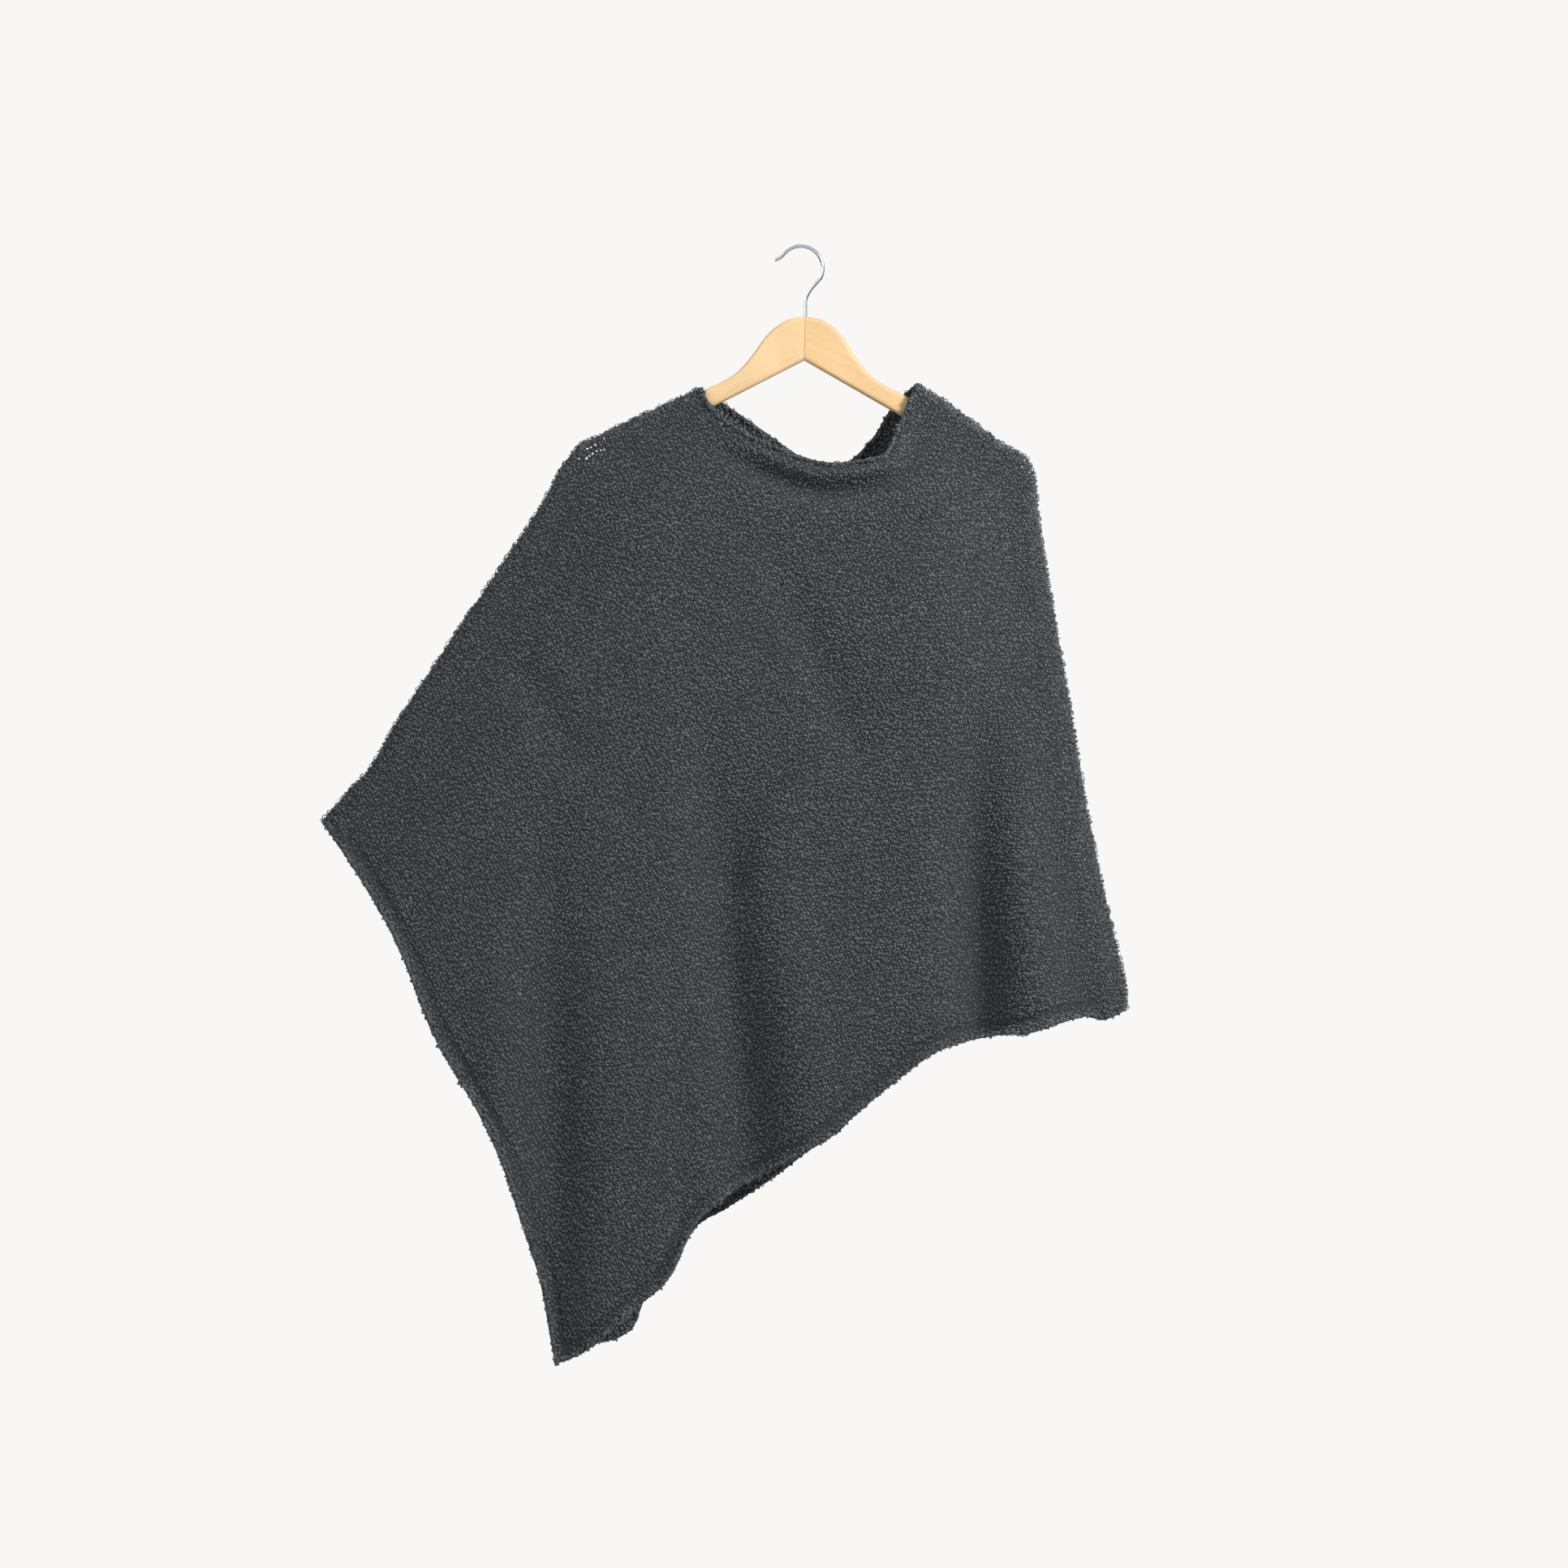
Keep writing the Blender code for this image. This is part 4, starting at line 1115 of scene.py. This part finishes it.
def make_loops(panel, outer, rim, bead, rng):
    """Small arcs of yarn that stand out of the cloth, closer together along its edges.

    Each centre line is part of a circle in the plane of the normal and a turned direction.
    """
    knit = bpy.context.scene.poncho_knit
    chosen = rng.choice(len(outer[0]), knit.loops, replace=False)
    on_rim = rng.choice(len(rim[0]), min(knit.edge_loops, len(rim[0])), replace=False)
    on_edge = rng.choice(len(bead[0]), min(knit.edge_loops, len(bead[0])), replace=False)
    frayed = np.abs(bead[0][:, 0] - TUFT[0]) < TUFT[1]
    frayed &= (bead[0][:, 2] < TUFT_TOP) & (panel.side == "front")
    groups = ((outer, chosen), (rim, on_rim), (bead, on_edge), (bead, np.flatnonzero(frayed)[::2]))
    place, normal, line = (np.vstack([g[k][rows] for g, rows in groups]) for k in range(3))
    count = len(place)
    normal = unit(normal + rng.normal(0.0, 0.3, (count, 3)))
    across = unit(np.cross(normal, line))
    turn = rng.uniform(0.0, math.pi, (count, 1))
    level_way = np.cos(turn) * np.cross(across, normal) + np.sin(turn) * across
    largest = np.where(np.arange(count) < len(chosen), *LARGEST_LOOPS[:2])
    largest[count - len(groups[3][1]) :] = LARGEST_LOOPS[2]
    radius = rng.uniform(LOOP_RADIUS, largest)[:, None, None]
    angle = np.radians(np.linspace(*LOOP_ARC, 6))[:, None]
    arc = np.cos(angle) * level_way[:, None] + np.sin(angle) * normal[:, None]
    centres = place[:, None] + radius * arc - 0.1 * normal[:, None]
    thick = rng.uniform(*LOOP_THICKNESS, count)
    tone, tint = yarn_numbers(count, np.zeros(count), rng)
    plane = unit(np.cross(level_way, normal))
    return tubes(f"{panel.side}_loops", centres, plane, thick, tone + 0.1, tint, yarn_finish())


def make_fibres(panel, outer, rng):
    """Thin loose fibres that lie over the nubs: shallow arcs, one end or both lifted."""
    knit = bpy.context.scene.poncho_knit
    chosen = rng.choice(len(outer[0]), knit.fibres, replace=False)
    place, normal, line = (a[chosen] for a in outer)
    count = len(place)
    turn = rng.normal(0.0, 0.6, (count, 1))
    across = unit(np.cross(normal, line))
    way = unit(np.cos(turn) * np.cross(across, normal) + np.sin(turn) * across)
    side_way = np.cross(normal, way)
    length = rng.uniform(*FIBRE_LENGTH, (count, 1, 1))
    bend = rng.normal(0.0, 0.12, (count, 1, 1))
    s = np.linspace(-0.5, 0.5, 6)[:, None]
    centres = place[:, None] + length * (s * way[:, None] + bend * s**2 * 4 * side_way[:, None])
    lift = 1.5 + rng.uniform(0.0, 1.6, (count, 1, 1)) * (s + 0.5) ** 2
    centres = centres + lift * normal[:, None]
    thick = rng.uniform(*FIBRE_THICKNESS, count)
    tone = rng.uniform(1.0, 1.6, count)
    return tubes(f"{panel.side}_fibres", centres, normal, thick, tone, 0.0 * tone, yarn_finish())


def wood_finish(name, colour, slope):
    """Satin varnished beech with its grain along the arm, which slopes by the given angle."""
    hanger = bpy.context.scene.poncho_hanger
    finish, tree, shader = new_finish(name, hanger.varnish)
    where = add_node(tree, "ShaderNodeTexCoord").outputs["Object"]
    turned = add_node(
        tree, "ShaderNodeMapping", {"Vector": where, "Rotation": (0.0, slope, 0.0)}
    ).outputs[0]
    long_way = add_node(
        tree, "ShaderNodeMapping", {"Vector": turned, "Scale": (0.05, 1.0, 1.0)}
    ).outputs[0]
    bands = noise(tree, long_way, 210.0, 4.0, 0.6)
    flecks = noise(tree, long_way, 900.0, 2.0, 0.5)
    clouds = noise(tree, turned, 22.0, 2.0, 0.5)
    paler = tuple(min(1.0, 1.12 * c) for c in colour)
    base = blend_colours(tree, stretch(tree, clouds, 0.3, 0.7), tuple(colour), paler)
    grain = tuple(hanger.grain)
    lined = blend_colours(tree, stretch(tree, bands, 0.48, 0.78, 0.0, 0.22), base, grain)
    fine = blend_colours(tree, stretch(tree, flecks, 0.6, 0.74, 0.0, 0.3), lined, grain)
    tree.links.new(fine, shader.inputs["Base Color"])
    gloss = stretch(tree, bands, 0.3, 0.8, hanger.varnish - 0.06, hanger.varnish + 0.1)
    tree.links.new(gloss, shader.inputs["Roughness"])
    bump = add_node(
        tree, "ShaderNodeBump", {"Strength": 0.15, "Distance": 0.2 * MM, "Height": bands}
    )
    tree.links.new(bump.outputs[0], shader.inputs["Normal"])
    return finish


def wire_finish():
    """Bright plated wire with faint drawing marks and cloudy patches in its gloss."""
    hanger = bpy.context.scene.poncho_hanger
    finish, tree, shader = new_finish("plated_wire", hanger.chrome)
    shader.inputs["Metallic"].default_value = 1.0
    where = add_node(tree, "ShaderNodeTexCoord").outputs["Object"]
    marks = noise(tree, where, 700.0, 3.0, 0.6)
    clouds = noise(tree, where, 90.0, 2.0, 0.5)
    colour = blend_colours(
        tree, stretch(tree, clouds, 0.3, 0.7), (0.60, 0.61, 0.63), (0.80, 0.81, 0.83)
    )
    tree.links.new(colour, shader.inputs["Base Color"])
    gloss = stretch(tree, marks, 0.3, 0.7, hanger.chrome - 0.03, hanger.chrome + 0.07)
    tree.links.new(gloss, shader.inputs["Roughness"])
    return finish


def stage_sheet(name, half_width, height, finish):
    """A flat square floor at the given height, as a grid of points."""
    side = np.linspace(-half_width, half_width, 9)
    x, y = np.meshgrid(side, side, indexing="ij")
    points = np.stack((x, y, np.full_like(x, height)), -1).reshape(-1, 3)
    index = np.arange(81).reshape(9, 9)
    quads = np.stack((index[:-1, :-1], index[1:, :-1], index[1:, 1:], index[:-1, 1:]), -1)
    mesh = bpy.data.meshes.new(name)
    mesh.from_pydata(points.tolist(), [], quads.reshape(-1, 4).tolist())
    mesh.materials.append(finish)
    sheet = bpy.data.objects.new(name, mesh)
    bpy.context.scene.collection.objects.link(sheet)


def soft_light(name, place, target, size, power, spread=180.0):
    lamp = bpy.data.lights.new(name, "AREA")
    lamp.shape = "DISK"
    lamp.size = size
    lamp.energy = power
    lamp.spread = math.radians(spread)
    made = bpy.data.objects.new(name, lamp)
    made.location = place
    made.rotation_euler = (Vector(target) - Vector(place)).to_track_quat("-Z", "Y").to_euler()
    bpy.context.scene.collection.objects.link(made)


class PONCHO_OT_cloth(bpy.types.Operator):
    """Add the thin knitted shells of the front and the back"""

    bl_idname = "poncho.cloth"
    bl_label = "Cloth shells"

    def execute(self, context):
        for side in ("front", "back"):
            make_cloth(side)
        return {"FINISHED"}


class PONCHO_OT_yarn(bpy.types.Operator):
    """Add the yarn nubs, the loops and the loose fibres"""

    bl_idname = "poncho.yarn"
    bl_label = "Yarn nubs and loops"

    def execute(self, context):
        for side in ("front", "back"):
            made = make_yarn(side)
        make_glints()
        return {"FINISHED"}


class PONCHO_OT_hanger(bpy.types.Operator):
    """Give the hanger's two wooden halves and its wire hook their finishes"""

    bl_idname = "poncho.hanger"
    bl_label = "Hanger finishes"

    def execute(self, context):
        hanger = context.scene.poncho_hanger
        slope = math.atan(0.5 * (SHOULDER_SLOPE + UNDERSIDE_SLOPE))
        finishes = {
            "hanger_arm_left": wood_finish("beech_left", hanger.wood_left, slope + WOOD_TILT),
            "hanger_arm_right": wood_finish("beech_right", hanger.wood_right, WOOD_TILT - slope),
            "hook": wire_finish(),
        }
        for name, finish in finishes.items():
            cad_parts[name].material_slots[0].material = finish
        make_hook(finishes["hook"])
        make_glue(wood_finish("glue_line", hanger.wood_right, WOOD_TILT))
        return {"FINISHED"}


class PONCHO_OT_stage(bpy.types.Operator):
    """Add the pale floor, the soft lights and the level long-lens camera"""

    bl_idname = "poncho.stage"
    bl_label = "Studio and camera"

    def execute(self, context):
        scene = context.scene
        stage = scene.poncho_stage
        low, high = (Vector(corner) for corner in CAD_BOX)
        paper = (*stage.paper, 1.0)

        finish, tree, shader = new_finish("pale_floor", 0.9)
        shader.inputs["Base Color"].default_value = (0.8, 0.8, 0.79, 1.0)
        seen = add_node(tree, "ShaderNodeLightPath").outputs["Is Camera Ray"]
        glow = add_node(tree, "ShaderNodeEmission", {"Color": paper, "Strength": 1.0})
        mixed = add_node(tree, "ShaderNodeMixShader", {0: seen, 1: shader.outputs[0]})
        tree.links.new(glow.outputs[0], mixed.inputs[2])
        tree.links.new(mixed.outputs[0], tree.nodes["Material Output"].inputs["Surface"])
        stage_sheet("floor", 9.0, low.z - stage.floor_drop, finish)

        world = bpy.data.worlds.new("studio")
        world.use_nodes = True
        scene.world = world
        tree = world.node_tree
        paper_seen = tree.nodes["Background"]
        paper_seen.inputs["Color"].default_value = paper
        seen = add_node(tree, "ShaderNodeLightPath").outputs["Is Camera Ray"]
        ambient = add_node(tree, "ShaderNodeBackground", {"Color": (0.90, 0.92, 1.0, 1.0)})
        way = add_node(tree, "ShaderNodeTexCoord").outputs["Generated"]
        forward = add_node(tree, "ShaderNodeSeparateXYZ", {0: way}).outputs[1]
        mirrored = stretch(tree, forward, 0.4, -0.5, 0.1, 0.9)
        glossy = add_node(tree, "ShaderNodeLightPath").outputs["Is Glossy Ray"]
        inputs = {0: glossy, 2: stage.ambient, 3: mirrored}
        strength = add_node(tree, "ShaderNodeMix", inputs).outputs[0]
        tree.links.new(strength, ambient.inputs["Strength"])
        mixed = add_node(tree, "ShaderNodeMixShader", {0: seen, 1: ambient.outputs[0]})
        tree.links.new(paper_seen.outputs[0], mixed.inputs[2])
        tree.links.new(mixed.outputs[0], tree.nodes["World Output"].inputs["Surface"])

        middle = (-0.016, 0.0, -0.513)
        soft_light("key_light", (1.9, -1.5, 0.9), (0.14, 0.0, -0.4), 0.8, stage.key_power, 95.0)
        soft_light("fill_light", (-2.1, -1.9, 0.9), (-0.35, 0.0, -0.4), 2.0, stage.fill_power)
        soft_light("rear_light", (-1.0, 2.6, 0.8), (0.0, 0.0, -0.5), 2.0, stage.rear_power)

        camera = bpy.data.objects.new("camera", bpy.data.cameras.new("camera"))
        camera.data.lens = camera.data.sensor_width * stage.distance / stage.frame_width
        camera.data.clip_end = 100.0
        camera.location = (middle[0], -stage.distance, middle[2])
        camera.rotation_euler = (math.radians(90.0), 0.0, 0.0)
        scene.collection.objects.link(camera)
        scene.camera = camera
        scene.view_settings.view_transform = "Standard"
        return {"FINISHED"}


class PONCHO_PT_panel(bpy.types.Panel):
    """Shows the poncho's settings and its buttons in the sidebar"""

    bl_idname = "PONCHO_PT_panel"
    bl_label = "Poncho on a hanger"
    bl_space_type = "VIEW_3D"
    bl_region_type = "UI"
    bl_category = "Poncho"

    def draw(self, context):
        groups = (
            (context.scene.poncho_knit, (PONCHO_OT_cloth, PONCHO_OT_yarn)),
            (context.scene.poncho_hanger, (PONCHO_OT_hanger,)),
            (context.scene.poncho_stage, (PONCHO_OT_stage,)),
        )
        for settings, operators in groups:
            column = self.layout.box().column()
            for name in settings.__annotations__:
                column.prop(settings, name)
            for operator in operators:
                column.operator(operator.bl_idname)


SETTINGS = {
    "poncho_knit": KnitSettings,
    "poncho_hanger": HangerSettings,
    "poncho_stage": StageSettings,
}
CLASSES = (
    *SETTINGS.values(),
    PONCHO_OT_cloth,
    PONCHO_OT_yarn,
    PONCHO_OT_hanger,
    PONCHO_OT_stage,
    PONCHO_PT_panel,
)


def register():
    for kind in CLASSES:
        bpy.utils.register_class(kind)
    for name, kind in SETTINGS.items():
        setattr(bpy.types.Scene, name, PointerProperty(type=kind))


def unregister():
    for name in SETTINGS:
        delattr(bpy.types.Scene, name)
    for kind in reversed(CLASSES):
        bpy.utils.unregister_class(kind)


def main():
    register()
    bpy.ops.poncho.stage()
    bpy.ops.poncho.hanger()
    bpy.ops.poncho.cloth()
    bpy.ops.poncho.yarn()


if __name__ == "__main__":
    main()
